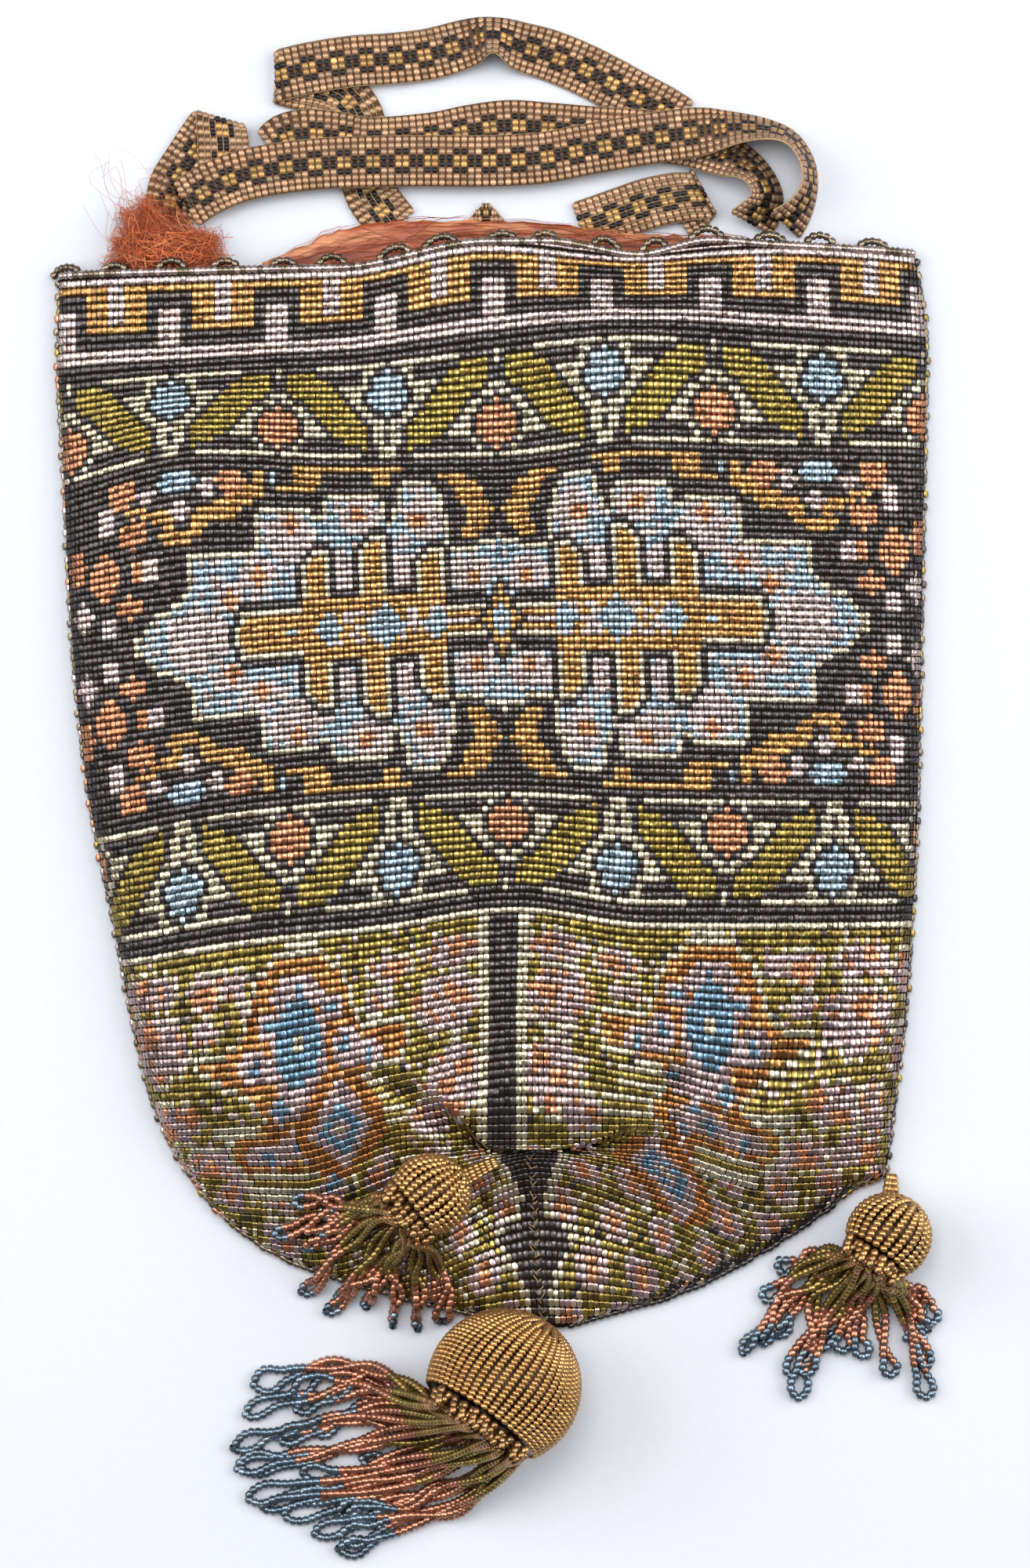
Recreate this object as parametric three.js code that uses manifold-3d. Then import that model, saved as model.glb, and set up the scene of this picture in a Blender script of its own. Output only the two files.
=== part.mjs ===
// Beaded drawstring purse, empty and lying on its back with its mouth towards +Y.
// A woven bead pouch with a tucked base, torn silk lining, woven bead straps heaped
// above the mouth, and three tassels of a bead-covered ball and a looped bead fringe.
// Millimetres, +Z up. The back of the pouch lies on the surface z = 0.
import * as THREE from "three";
import { mergeVertices } from "three/addons/utils/BufferGeometryUtils.js";
import Module from "manifold-3d";

const wasm = await Module();
wasm.setup();

// Driving dimensions
const WALL = 1.6; // bead fabric with its threads
const GAP = 0.3; // clearance between pieces that touch
const EDGE_RISE = 1.4; // height of the rolled side edge
const EDGE_ROLL = 1.2; // how far the underside turns up at the side edge
const SIDE_INSET = 3.2; // from the side edge to the hollow
const LEAST_HOLLOW = 0.6; // height of the hollow where the front comes down on the back
const HOLLOW_END = -111; // the hollow stops here, above the gathered tip
const MOUTH_Y = 119.3; // level line of the mouth
const MOUTH_FADE = 48; // the mouth's waves die out over this length
const MOUTH_FADE_POWER = 1.5;
const MOUTH_OVERCUT = 14; // how far the hollow runs out of the mouth
const TOP_POINTS = 20;
const BACK_POINTS = 5;

const STRAP_WIDTH = 11.4;
const STRAP_THICK = 1.5;
const LINING_THICK = 1.0;
const LINING_Z = WALL + GAP + LINING_THICK / 2;
const LINING_HOLD = 4; // how far the lining runs down inside the mouth
const RIBBON_STEPS = 2; // loft steps between two rows of a ribbon

const STRAND_HALF_WIDTH = 1.9; // a looped pair of bead strings
const STRAND_HALF_THICK = 0.95;
const STRAND_SIDES = 5;
const STRAND_STEPS = 6;
const STRAND_LIFT = 0.7; // clearance of a draped strand over the pouch
const DRAPE_REACH = 3; // a draped strand clears the ground this far around it
const HANGER_RADIUS = 0.9;
const BALL_SEGMENTS = 16;
const BALL_ROWS = 8;
const BALL_PROBE = 0.5; // spacing of the spots where a ball is set down on the pouch

// Outline of the pouch seen from above, from the mouth to the gathered tip,
// with the height of the front at the middle of each section.
const SECTIONS = [
  { y: 119.3, left: -99.9, right: 96.8, crown: 13.0 },
  { y: 99.5, left: -100.3, right: 99.5, crown: 13.5 },
  { y: 72.5, left: -99.0, right: 99.0, crown: 14.5 },
  { y: 36.5, left: -97.2, right: 98.3, crown: 15.5 },
  { y: 0.5, left: -93.6, right: 97.6, crown: 16.0 },
  { y: -31.9, left: -87.3, right: 96.1, crown: 16.5 },
  { y: -53.5, left: -83.2, right: 94.5, crown: 17.0 },
  { y: -71.5, left: -78.8, right: 92.3, crown: 17.0 },
  { y: -85.9, left: -72.4, right: 90.5, crown: 13.0 },
  { y: -88.9, left: -70.2, right: 90.0, crown: 12.0 },
  { y: -92.2, left: -68.0, right: 82.8, crown: 10.5 },
  { y: -96.7, left: -64.4, right: 77.3, crown: 8.8 },
  { y: -107.5, left: -50.0, right: 60.7, crown: 6.6 },
  { y: -116.5, left: -24.5, right: 42.5, crown: 5.0 },
  { y: -121.9, left: -1.8, right: 23.8, crown: 4.0 },
  { y: -124.0, left: 6.8, right: 16.6, crown: 3.6 },
];

// Loft stations down the pouch, closer together where the base is tucked.
const STATIONS = [
  { from: 119.3, to: -56, count: 15 },
  { from: -59, to: -88.9, count: 13 },
  { from: -92, to: -124, count: 9 },
];

// How far the front and back edges of the mouth stand above its level line.
const MOUTH = [
  { x: -99.9, front: -2.5, back: -2.5 },
  { x: -67.1, front: -2.0, back: -1.6 },
  { x: -34.4, front: -1.3, back: 2.2 },
  { x: -1.4, front: 4.5, back: 7.2 },
  { x: 12.6, front: 4.5, back: 6.8 },
  { x: 32.8, front: 1.7, back: 6.3 },
  { x: 49.5, front: 4.8, back: 6.2 },
  { x: 64.1, front: 4.0, back: 5.4 },
  { x: 96.8, front: 2.7, back: 2.7 },
];

// Lip of the front panel where the base is tucked under it, and the drop below it.
const LIP = [
  { x: -28.3, y: -59.2, drop: 0 },
  { x: -19.5, y: -66.0, drop: 1.6 },
  { x: -10.3, y: -74.0, drop: 3.2 },
  { x: 0.4, y: -83.3, drop: 4.4 },
  { x: 12.0, y: -83.2, drop: 4.4 },
  { x: 23.4, y: -81.9, drop: 4.0 },
  { x: 31.5, y: -79.0, drop: 2.8 },
  { x: 43.2, y: -79.6, drop: 0 },
];
const LIP_EDGE = 1.2; // half of the step's run
const LIP_REACH = { from: 10, to: 34 }; // the drop dies out over this stretch

// Soft folds of the front: ridges rise and valleys sink along a line.
const FOLDS = [
  { x: 2.7, y: -58.9, heading: 90, reach: 20, width: 5.0, rise: 1.3 },
  { x: -7.2, y: -53.5, heading: 95, reach: 18, width: 5.5, rise: -1.6 },
  { x: 13.5, y: -51.7, heading: 88, reach: 18, width: 5.0, rise: -1.2 },
  { x: -13.5, y: -73.5, heading: -36, reach: 7, width: 3.0, rise: -2.2 },
  { x: 68.4, y: -61.6, heading: 45, reach: 14, width: 4.0, rise: -2.2 },
  { x: 77.4, y: -64.3, heading: 45, reach: 14, width: 5.0, rise: 1.4 },
  { x: 40.9, y: -73.3, heading: 85, reach: 9, width: 3.5, rise: -2.2 },
  { x: 33.3, y: 118.4, heading: 90, reach: 12, width: 7.0, rise: -1.6 },
  { x: 48.6, y: 119.3, heading: 90, reach: 14, width: 7.0, rise: 1.2 },
  { x: 10.0, y: 112.0, heading: 90, reach: 20, width: 8.0, rise: 1.3 },
  { x: -32.4, y: 110.0, heading: 90, reach: 20, width: 8.0, rise: -1.0 },
  { x: -53.0, y: 95.0, heading: 88, reach: 28, width: 9.0, rise: 1.1 },
  { x: 0.0, y: 85.0, heading: 80, reach: 26, width: 9.0, rise: 0.9 },
];

// Torn silk lining along the back of the mouth: its lower and upper edges.
const LINING = [
  { x: -53.1, low: 118.3, high: 119.9 },
  { x: -45.0, low: 119.3, high: 123.3 },
  { x: -34.2, low: 120.1, high: 127.6 },
  { x: -23.4, low: 121.1, high: 129.4 },
  { x: -12.6, low: 122.6, high: 129.6 },
  { x: -1.8, low: 123.8, high: 129.6 },
  { x: 12.6, low: 124.0, high: 128.9 },
  { x: 27.0, low: 122.6, high: 127.0 },
  { x: 41.4, low: 123.3, high: 126.4 },
  { x: 52.2, low: 123.7, high: 126.2 },
  { x: 58.5, low: 123.3, high: 125.5 },
];

// Routes of the woven straps: centre, direction of the width in plan, its tilt out of
// the plan in degrees, and its length as a share of the strap's width.
const STRAPS = {
  strap_front: [
    { x: -70.6, y: 133.0, z: 4.5, across: 120 },
    { x: -65.2, y: 136.6, z: 4.55, across: 118 },
    { x: -57.6, y: 139.7, z: 4.55, across: 105 },
    { x: -48.6, y: 141.5, z: 4.55, across: 98 },
    { x: -37.8, y: 142.6, z: 4.55, across: 93 },
    { x: -19.8, y: 143.1, z: 4.55, across: 90 },
    { x: -1.8, y: 143.1, z: 4.55, across: 90 },
    { x: 10.8, y: 143.8, z: 4.55, across: 96 },
    { x: 21.6, y: 145.8, z: 4.55, across: 100 },
    { x: 34.2, y: 148.0, z: 4.55, across: 99 },
    { x: 45.0, y: 149.4, z: 5.4, across: 97, tilt: -6 },
    { x: 54.0, y: 150.4, z: 6.4, across: 95, tilt: -42 },
    { x: 62.1, y: 150.3, z: 5.6, across: 82, tilt: -60 },
    { x: 68.0, y: 148.1, z: 5.7, across: 50, tilt: -68 },
    { x: 71.5, y: 143.1, z: 5.8, across: 15, tilt: -70 },
    { x: 72.2, y: 137.3, z: 5.8, across: -5, tilt: -70 },
    { x: 70.2, y: 132.3, z: 5.5, across: -25, tilt: -60 },
    { x: 66.6, y: 128.2, z: 4.5, across: -40, tilt: -40 },
  ],
  strap_back: [
    { x: -50.9, y: 145.3, z: 2.65, across: 130 },
    { x: -48.2, y: 148.1, z: 2.65, across: 115 },
    { x: -42.8, y: 149.4, z: 2.65, across: 95 },
    { x: -34.2, y: 148.5, z: 2.65, across: 87 },
    { x: -28.8, y: 147.4, z: 2.65, across: 88 },
    { x: -14.4, y: 148.5, z: 2.65, across: 98 },
    { x: -5.4, y: 150.3, z: 2.65, across: 100 },
    { x: 3.6, y: 151.4, z: 2.65, across: 93 },
    { x: 12.6, y: 150.8, z: 2.65, across: 86 },
    { x: 23.4, y: 149.9, z: 2.65, across: 86 },
    { x: 34.2, y: 149.2, z: 2.65, across: 87 },
    { x: 45.0, y: 147.8, z: 2.65, across: 80 },
    { x: 53.1, y: 144.5, z: 3.7, across: 66, tilt: -27 },
    { x: 59.8, y: 140.6, z: 4.9, across: 35, tilt: -50 },
    { x: 62.6, y: 135.5, z: 4.9, across: 5, tilt: -50 },
    { x: 60.8, y: 131.2, z: 4, across: -20, tilt: -35 },
    { x: 58.7, y: 128.7, z: 2.9, across: -28, tilt: -20 },
  ],
  strap_upper: [
    { x: -74.5, y: 129.2, z: 0.75, across: 176 },
    { x: -74.3, y: 133.4, z: 0.75, across: 170 },
    { x: -73.1, y: 138.4, z: 0.75, across: 156 },
    { x: -70.0, y: 143.3, z: 0.75, across: 147 },
    { x: -66.6, y: 148.5, z: 0.75, across: 145 },
    { x: -64.3, y: 151.6, z: 0.75, across: 150 },
    { x: -63.2, y: 152.6, z: 0.85, across: 160 },
    { x: -62.8, y: 153.1, z: 1.7, across: 162 },
    { x: -62.6, y: 152.6, z: 2.55, across: 165 },
    { x: -62.3, y: 150.7, z: 2.65, across: 174 },
    { x: -61.9, y: 146.3, z: 2.65, across: 180 },
    { x: -61.9, y: 140.6, z: 2.65, across: 180 },
  ],
  strap_loop: [
    { x: 43.0, y: 152.2, z: 0.75, across: 238 },
    { x: 38.0, y: 155.3, z: 0.75, across: 239 },
    { x: 32.4, y: 158.3, z: 0.75, across: 241 },
    { x: 27.0, y: 161.3, z: 0.75, across: 242 },
    { x: 19.8, y: 164.9, z: 0.75, across: 245 },
    { x: 12.6, y: 167.8, z: 0.75, across: 250 },
    { x: 5.8, y: 169.7, z: 2.3, across: 256, tilt: 15 },
    { x: 0.0, y: 171.9, z: 4.5, across: 268, tilt: 40 },
    { x: -5.8, y: 170.3, z: 2.6, across: 286, tilt: 15 },
    { x: -14.4, y: 167.9, z: 2, across: 284 },
    { x: -23.4, y: 166.7, z: 2.65, across: 276 },
    { x: -32.4, y: 166.1, z: 2.65, across: 276 },
    { x: -41.4, y: 164.7, z: 2.65, across: 280 },
    { x: -47.2, y: 163.4, z: 2.65, across: 282 },
    { x: -49.0, y: 162.9, z: 2.55, across: 276 },
    { x: -50.0, y: 162.5, z: 1.7, across: 270 },
    { x: -49.0, y: 162.2, z: 0.85, across: 264 },
    { x: -44.1, y: 161.1, z: 0.75, across: 260 },
    { x: -39.2, y: 160.2, z: 0.75, across: 254 },
    { x: -34.9, y: 158.4, z: 0.75, across: 238 },
    { x: -31.9, y: 155.2, z: 0.75, across: 214 },
    { x: -30.4, y: 150.8, z: 0.75, across: 192 },
    { x: -30.1, y: 143.6, z: 0.75, across: 186 },
    { x: -28.6, y: 136.8, z: 0.75, across: 206 },
    { x: -25.6, y: 132.1, z: 0.75, across: 217 },
    { x: -22.5, y: 128.3, z: 0.75, across: 219 },
  ],
  strap_tab: [
    { x: 41.4, y: 131.2, z: 0.75, across: 125 },
    { x: 45.0, y: 133.0, z: 0.75, across: 124 },
    { x: 47.2, y: 135.4, z: 0.8, across: 121 },
    { x: 48.1, y: 136.3, z: 1.7, across: 119 },
    { x: 47.0, y: 135.3, z: 2.55, across: 116 },
    { x: 43.6, y: 135.2, z: 2.65, across: 113 },
    { x: 36.0, y: 133.7, z: 2.3, across: 110 },
    { x: 29.7, y: 132.1, z: 0.85, across: 116, span: 1.03 },
    { x: 24.3, y: 130.4, z: 0.8, across: 150, span: 1.25 },
    { x: 20.2, y: 128.7, z: 0.75, across: 171, span: 1.67 },
  ],
  strap_tip: [
    { x: -1.8, y: 127.8, z: 0.75, across: 180, span: 0.95 },
    { x: -1.8, y: 131.2, z: 0.75, across: 180, span: 0.5 },
    { x: -1.8, y: 133.9, z: 0.75, across: 180, span: 0.04 },
  ],
};

// Tassels: the ball's centre, radius and pole, where it hangs from, and the free ends of
// the strands. The ball is open on the side away from its pole.
const TASSELS = [
  {
    name: "left",
    ball: { x: -14.2, y: -92.2, radius: 9.4 },
    pole: { x: 0.79, y: 0.61, z: -0.06 },
    root: { x: 0.6, y: -85.4, lift: 1.6 },
    onPouch: true,
    ends: [
      { x: -45.4, y: -94.5, bend: 1.5 },
      { x: -40.5, y: -101.5, bend: 2.0 },
      { x: -49.9, y: -102.2, bend: -2.0 },
      { x: -44.1, y: -116.1, bend: -2.5 },
      { x: -36.0, y: -118.8, bend: 2.0 },
      { x: -23.2, y: -123.7, bend: -2.0 },
      { x: -11.5, y: -122.9, bend: 3.0 },
    ],
  },
  {
    name: "bottom",
    ball: { x: 2.3, y: -135.9, radius: 17.75 },
    pole: { x: 0.57, y: 0.78, z: -0.25 },
    root: { x: 11.2, y: -125.2, lift: 2.0 },
    onPouch: false,
    ends: [
      { x: -55.1, y: -137.5, bend: -6.0 },
      { x: -37.1, y: -140.2, bend: -4.0 },
      { x: -56.9, y: -144.4, bend: -3.0 },
      { x: -41.2, y: -148.0, bend: -2.0 },
      { x: -59.9, y: -152.1, bend: -2.0 },
      { x: -58.5, y: -155.5, bend: 1.5 },
      { x: -30.2, y: -154.1, bend: 2.0 },
      { x: -56.5, y: -163.4, bend: 2.0 },
      { x: -48.2, y: -167.2, bend: 2.5 },
      { x: -28.8, y: -168.7, bend: 2.0 },
      { x: -41.2, y: -171.4, bend: 3.0 },
      { x: -35.8, y: -175.1, bend: 4.0 },
    ],
  },
  {
    name: "right",
    ball: { x: 90.0, y: -102.4, radius: 10.0 },
    pole: { x: 0.6, y: 0.8, z: -0.2 },
    root: { x: 91.2, y: -88.9, lift: 1.5 },
    onPouch: false,
    ends: [
      { x: 65.5, y: -111.1, bend: -1.0 },
      { x: 56.9, y: -130.1, bend: -2.5 },
      { x: 65.2, y: -126.2, bend: -2.0 },
      { x: 70.0, y: -140.4, bend: -2.0 },
      { x: 74.5, y: -129.1, bend: 2.0 },
      { x: 85.5, y: -130.7, bend: -2.0 },
      { x: 99.5, y: -140.2, bend: 2.0 },
      { x: 96.7, y: -127.6, bend: 2.0 },
      { x: 100.6, y: -123.1, bend: 3.0 },
    ],
  },
];
const OPENING = 0.53; // distance of a ball's opening from its centre, as a share of its radius
const HEAD_SHARE = 0.86; // radius of the fringe's head as a share of the opening's
const HEAD_THICK = 1.8;
const RIM_SPREAD = { from: 12, to: 168 }; // strands leave the head over this arc, in degrees
const STRAND_LEAVE = 4.0; // how far a strand runs straight out of the ball
const STRAND_FALL = 0.5; // share of its length over which a strand comes down
const STRAND_FALL_POWER = 1.5;

// Tuft of frayed silk at the left corner of the mouth: its core and its locks.
const TUFT = { x: -75.0, y: 122.8, z: 4.4, long: 12.0, deep: 5.0, high: 4.2 };
const TUFT_LOCKS = [
  { x: -87.7, y: 119.3, z: 1.4 },
  { x: -86.4, y: 124.7, z: 1.8 },
  { x: -84.6, y: 131.0, z: 2.6 },
  { x: -80.1, y: 134.1, z: 3.4 },
  { x: -63.9, y: 124.7, z: 2.2 },
  { x: -61.7, y: 119.7, z: 1.6 },
  { x: -76.0, y: 111.5, z: 2.3 },
];
const LOCK_ROOT = 2.2; // half width of a silk lock at its root
const LOCK_TIP = 0.5;
const LOCK_ARCH = 1.6; // how far a silk lock arches above a straight line
const LOCK_LEAVE = 0.3; // share of the way to its tip where a lock leaves the core
const LOCK_PEAK = 0.55; // share of the way where it arches highest
const LOCK_FLATNESS = 0.7;
const LOCK_STEPS = 4;
const LOCK_SIDES = 6;

const finish = (color, roughness, metalness) =>
  new THREE.MeshStandardMaterial({ color, roughness, metalness });
const BEAD_FABRIC = finish(0x6a5a4a, 0.38, 0.8);
const STRAP_BEADS = finish(0x94673f, 0.36, 0.8);
const BALL_BEADS = finish(0xa9722f, 0.32, 0.85);
const FRINGE_BEADS = finish(0x9a6a4a, 0.34, 0.8);
const SILK = finish(0xc4683a, 0.65, 0);

// Small helpers: smooth curves through table rows, and steps between two values.
function through(rows, at, key) {
  const order = [...rows].sort((a, b) => a[at] - b[at]);
  const xs = order.map((row) => row[at]);
  const ys = order.map((row) => row[key]);
  const slopes = xs.slice(1).map((x, i) => (ys[i + 1] - ys[i]) / (x - xs[i]));
  const tangents = xs.map((_, i) => {
    const before = slopes[Math.max(i - 1, 0)];
    const after = slopes[Math.min(i, slopes.length - 1)];
    return before * after <= 0 ? 0 : (2 * before * after) / (before + after);
  });
  return (x) => {
    if (x <= xs[0]) return ys[0];
    if (x >= xs[xs.length - 1]) return ys[ys.length - 1];
    const i = xs.findIndex((edge) => x < edge) - 1;
    const run = xs[i + 1] - xs[i];
    const t = (x - xs[i]) / run;
    const ease = t * t * (3 - 2 * t);
    const bow = run * t * (1 - t);
    return ys[i] + (ys[i + 1] - ys[i]) * ease + bow * (tangents[i] * (1 - t) - tangents[i + 1] * t);
  };
}

const radians = (degrees) => (degrees * Math.PI) / 180;
const smoothstep = (low, high, x) => THREE.MathUtils.smoothstep(x, low, high);

const leftAt = through(SECTIONS, "y", "left");
const rightAt = through(SECTIONS, "y", "right");
const crownAt = through(SECTIONS, "y", "crown");
const frontEdge = through(MOUTH, "x", "front");
const backEdge = through(MOUTH, "x", "back");
const lipEdge = through(LIP, "x", "y");
const lipDrop = through(LIP, "x", "drop");

// Form of the pouch
function foldHeight(x, y) {
  let height = 0;
  for (const fold of FOLDS) {
    const turn = radians(fold.heading);
    const along = (x - fold.x) * Math.cos(turn) + (y - fold.y) * Math.sin(turn);
    const off = (y - fold.y) * Math.cos(turn) - (x - fold.x) * Math.sin(turn);
    height += fold.rise * Math.exp(-((off / fold.width) ** 2) - (along / fold.reach) ** 4);
  }
  return height;
}

function lipHeight(x, y) {
  if (x <= LIP[0].x || x >= LIP[LIP.length - 1].x) return 0;
  const below = lipEdge(x) - y;
  const step = smoothstep(-LIP_EDGE, LIP_EDGE, below);
  return -lipDrop(x) * step * (1 - smoothstep(LIP_REACH.from, LIP_REACH.to, below));
}

function frontHeight(x, y) {
  const left = leftAt(y);
  const right = rightAt(y);
  const side = Math.min(1, Math.abs((2 * (x - left)) / (right - left) - 1));
  const dome = Math.sqrt(1 - side ** 3);
  const crown = crownAt(y) - EDGE_RISE + foldHeight(x, y) + lipHeight(x, y);
  return EDGE_RISE + Math.max(0, crown) * dome;
}

function pouchRing(y, inset) {
  const wall = inset > 0 ? WALL : 0;
  const left = leftAt(y) + inset;
  const right = rightAt(y) - inset;
  const fade = THREE.MathUtils.clamp((y - MOUTH_Y) / MOUTH_FADE + 1, 0, 1) ** MOUTH_FADE_POWER;
  const ring = [];
  for (let i = 0; i <= TOP_POINTS; i += 1) {
    const x = left + ((right - left) * (1 - Math.cos((Math.PI * i) / TOP_POINTS))) / 2;
    const height = frontHeight(x, y) - wall;
    const z = inset > 0 ? Math.max(height, WALL + LEAST_HOLLOW) : height;
    ring.push(new THREE.Vector3(x, y + frontEdge(x) * fade, z));
  }
  const roll = inset > 0 ? 0 : EDGE_ROLL;
  for (let i = 0; i <= BACK_POINTS; i += 1) {
    const x = THREE.MathUtils.lerp(right - roll, left + roll, i / BACK_POINTS);
    ring.push(new THREE.Vector3(x, y + backEdge(x) * fade, wall));
  }
  return ring;
}

// Skins a row of closed rings and closes both ends.
function loft(rings) {
  const sides = rings[0].length;
  const points = rings.flat();
  const faces = [];
  for (let r = 0; r + 1 < rings.length; r += 1) {
    for (let i = 0; i < sides; i += 1) {
      const a = r * sides + i;
      const b = r * sides + ((i + 1) % sides);
      faces.push([a, b, b + sides], [a, b + sides, a + sides]);
    }
  }
  for (const [start, flip] of [[0, true], [(rings.length - 1) * sides, false]]) {
    const centre = new THREE.Vector3();
    for (let i = 0; i < sides; i += 1) centre.add(points[start + i]);
    points.push(centre.divideScalar(sides));
    for (let i = 0; i < sides; i += 1) {
      const a = start + i;
      const b = start + ((i + 1) % sides);
      faces.push(flip ? [b, a, points.length - 1] : [a, b, points.length - 1]);
    }
  }
  let volume = 0;
  for (const [a, b, c] of faces) {
    volume += points[a].dot(new THREE.Vector3().crossVectors(points[b], points[c]));
  }
  const index = faces.map(([a, b, c]) => (volume < 0 ? [a, c, b] : [a, b, c])).flat();
  const geometry = new THREE.BufferGeometry().setFromPoints(points);
  geometry.setIndex(index);
  return geometry;
}

// Joins and cuts
function toSolid(geometry) {
  const bare = geometry.clone();
  bare.deleteAttribute("normal");
  bare.deleteAttribute("uv");
  const merged = mergeVertices(bare, 1e-5);
  const vertProperties = new Float32Array(merged.attributes.position.array);
  const triVerts = new Uint32Array(merged.index.array);
  return new wasm.Manifold(new wasm.Mesh({ numProp: 3, vertProperties, triVerts }));
}

function toGeometry(solid) {
  const mesh = solid.getMesh();
  const geometry = new THREE.BufferGeometry();
  geometry.setAttribute("position", new THREE.BufferAttribute(mesh.vertProperties, 3));
  geometry.setIndex(new THREE.BufferAttribute(mesh.triVerts, 1));
  return geometry;
}

const fuse = (geometries) =>
  toGeometry(geometries.map(toSolid).reduce((whole, piece) => whole.add(piece)));

// Pouch: the outer form with the hollow cut out through the mouth
function makePouch() {
  const levels = STATIONS.flatMap(({ from, to, count }) =>
    Array.from({ length: count }, (_, i) => THREE.MathUtils.lerp(from, to, i / (count - 1))),
  );
  const outer = loft(levels.map((y) => pouchRing(y, 0)));
  const inside = levels.filter((y) => y > HOLLOW_END);
  const hollow = loft([MOUTH_Y + MOUTH_OVERCUT, ...inside].map((y) => pouchRing(y, SIDE_INSET)));
  return toGeometry(toSolid(outer).subtract(toSolid(hollow)));
}

// Flat ribbon along a route, lying across it as each row says
function ribbon(rows, width, thick) {
  const place = new THREE.CatmullRomCurve3(rows.map((row) => new THREE.Vector3(row.x, row.y, row.z)));
  const lay = new THREE.CatmullRomCurve3(
    rows.map((row) => new THREE.Vector3(row.across, row.tilt ?? 0, row.span ?? 1)),
  );
  lay.curveType = "catmullrom";
  const steps = (rows.length - 1) * RIBBON_STEPS;
  const rings = [];
  for (let i = 0; i <= steps; i += 1) {
    const centre = place.getPoint(i / steps);
    const ahead = place.getPoint(Math.min(i + 1, steps) / steps);
    const tangent = ahead.sub(place.getPoint(Math.max(i - 1, 0) / steps));
    const turn = lay.getPoint(i / steps);
    const tilt = radians(turn.y);
    const across = new THREE.Vector3(
      Math.cos(radians(turn.x)) * Math.cos(tilt),
      Math.sin(radians(turn.x)) * Math.cos(tilt),
      Math.sin(tilt),
    );
    const up = new THREE.Vector3().crossVectors(tangent, across).setLength(thick / 2);
    across.multiplyScalar((width * turn.z) / 2);
    centre.z = Math.max(centre.z, Math.abs(across.z) + Math.abs(up.z));
    rings.push([
      centre.clone().add(across).add(up),
      centre.clone().sub(across).add(up),
      centre.clone().sub(across).sub(up),
      centre.clone().add(across).sub(up),
    ]);
  }
  return loft(rings);
}

function makeLining() {
  const rows = LINING.map(({ x, low, high }) => ({
    x,
    y: (low - LINING_HOLD + high) / 2,
    z: LINING_Z,
    across: 90,
    span: high - low + LINING_HOLD,
  }));
  return ribbon(rows, 1, LINING_THICK);
}

// Tapering strand or lock along points, wider than it is thick
function lock(points, steps, sides, halfAt) {
  const curve = new THREE.CatmullRomCurve3(points);
  const rings = [];
  for (let i = 0; i <= steps; i += 1) {
    const centre = curve.getPoint(i / steps);
    const tangent = curve.getTangent(i / steps);
    const across = new THREE.Vector3(-tangent.y, tangent.x, 0).normalize();
    const up = new THREE.Vector3().crossVectors(tangent, across);
    const [half, thick] = halfAt(i / steps);
    rings.push(
      Array.from({ length: sides }, (_, k) => {
        const turn = ((k + 0.5) * 2 * Math.PI) / sides;
        return centre
          .clone()
          .addScaledVector(across, half * Math.cos(turn))
          .addScaledVector(up, thick * Math.sin(turn));
      }),
    );
  }
  return loft(rings);
}

// Height of what a strand lies on: the front of the pouch, or the surface beside it
function groundHeight(x, y) {
  const last = SECTIONS[SECTIONS.length - 1];
  if (y < last.y || x < leftAt(y) || x > rightAt(y)) return 0;
  return frontHeight(x, y);
}

function drapeHeight(x, y) {
  let height = 0;
  for (const dx of [-DRAPE_REACH, 0, DRAPE_REACH]) {
    for (const dy of [-DRAPE_REACH, 0, DRAPE_REACH]) {
      height = Math.max(height, groundHeight(x + dx, y + dy));
    }
  }
  return height;
}

// Lowest centre of a ball that touches nothing below it
function ballHeight({ x, y, radius }) {
  let height = radius;
  for (let dx = -radius; dx <= radius; dx += BALL_PROBE) {
    for (let dy = -radius; dy <= radius; dy += BALL_PROBE) {
      const rest = radius * radius - dx * dx - dy * dy;
      const ground = groundHeight(x + dx, y + dy);
      if (rest > 0 && ground > 0) height = Math.max(height, ground + Math.sqrt(rest) + GAP);
    }
  }
  return height;
}

// Directions around a ball's pole: sideways and upwards in the plane of its opening
function poleFrame(pole) {
  const axis = new THREE.Vector3(pole.x, pole.y, pole.z).normalize();
  const side = new THREE.Vector3(-axis.y, axis.x, 0).normalize();
  return { axis, side, up: new THREE.Vector3().crossVectors(axis, side) };
}

function alongPole(profile, segments, axis, centre) {
  const turned = new THREE.LatheGeometry(profile, segments);
  const turn = new THREE.Quaternion().setFromUnitVectors(new THREE.Vector3(0, 1, 0), axis);
  return turned.applyQuaternion(turn).translate(centre.x, centre.y, centre.z);
}

// Ball: a sphere cut flat where its fringe comes out
function makeBall({ ball, pole }, centre) {
  const rim = Math.acos(-OPENING);
  const profile = [new THREE.Vector2(0, -OPENING * ball.radius)];
  for (let i = 0; i < BALL_ROWS; i += 1) {
    const turn = rim * (1 - i / BALL_ROWS);
    profile.push(new THREE.Vector2(ball.radius * Math.sin(turn), ball.radius * Math.cos(turn)));
  }
  profile.push(new THREE.Vector2(0, ball.radius));
  return alongPole(profile, BALL_SEGMENTS, poleFrame(pole).axis, centre);
}

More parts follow.
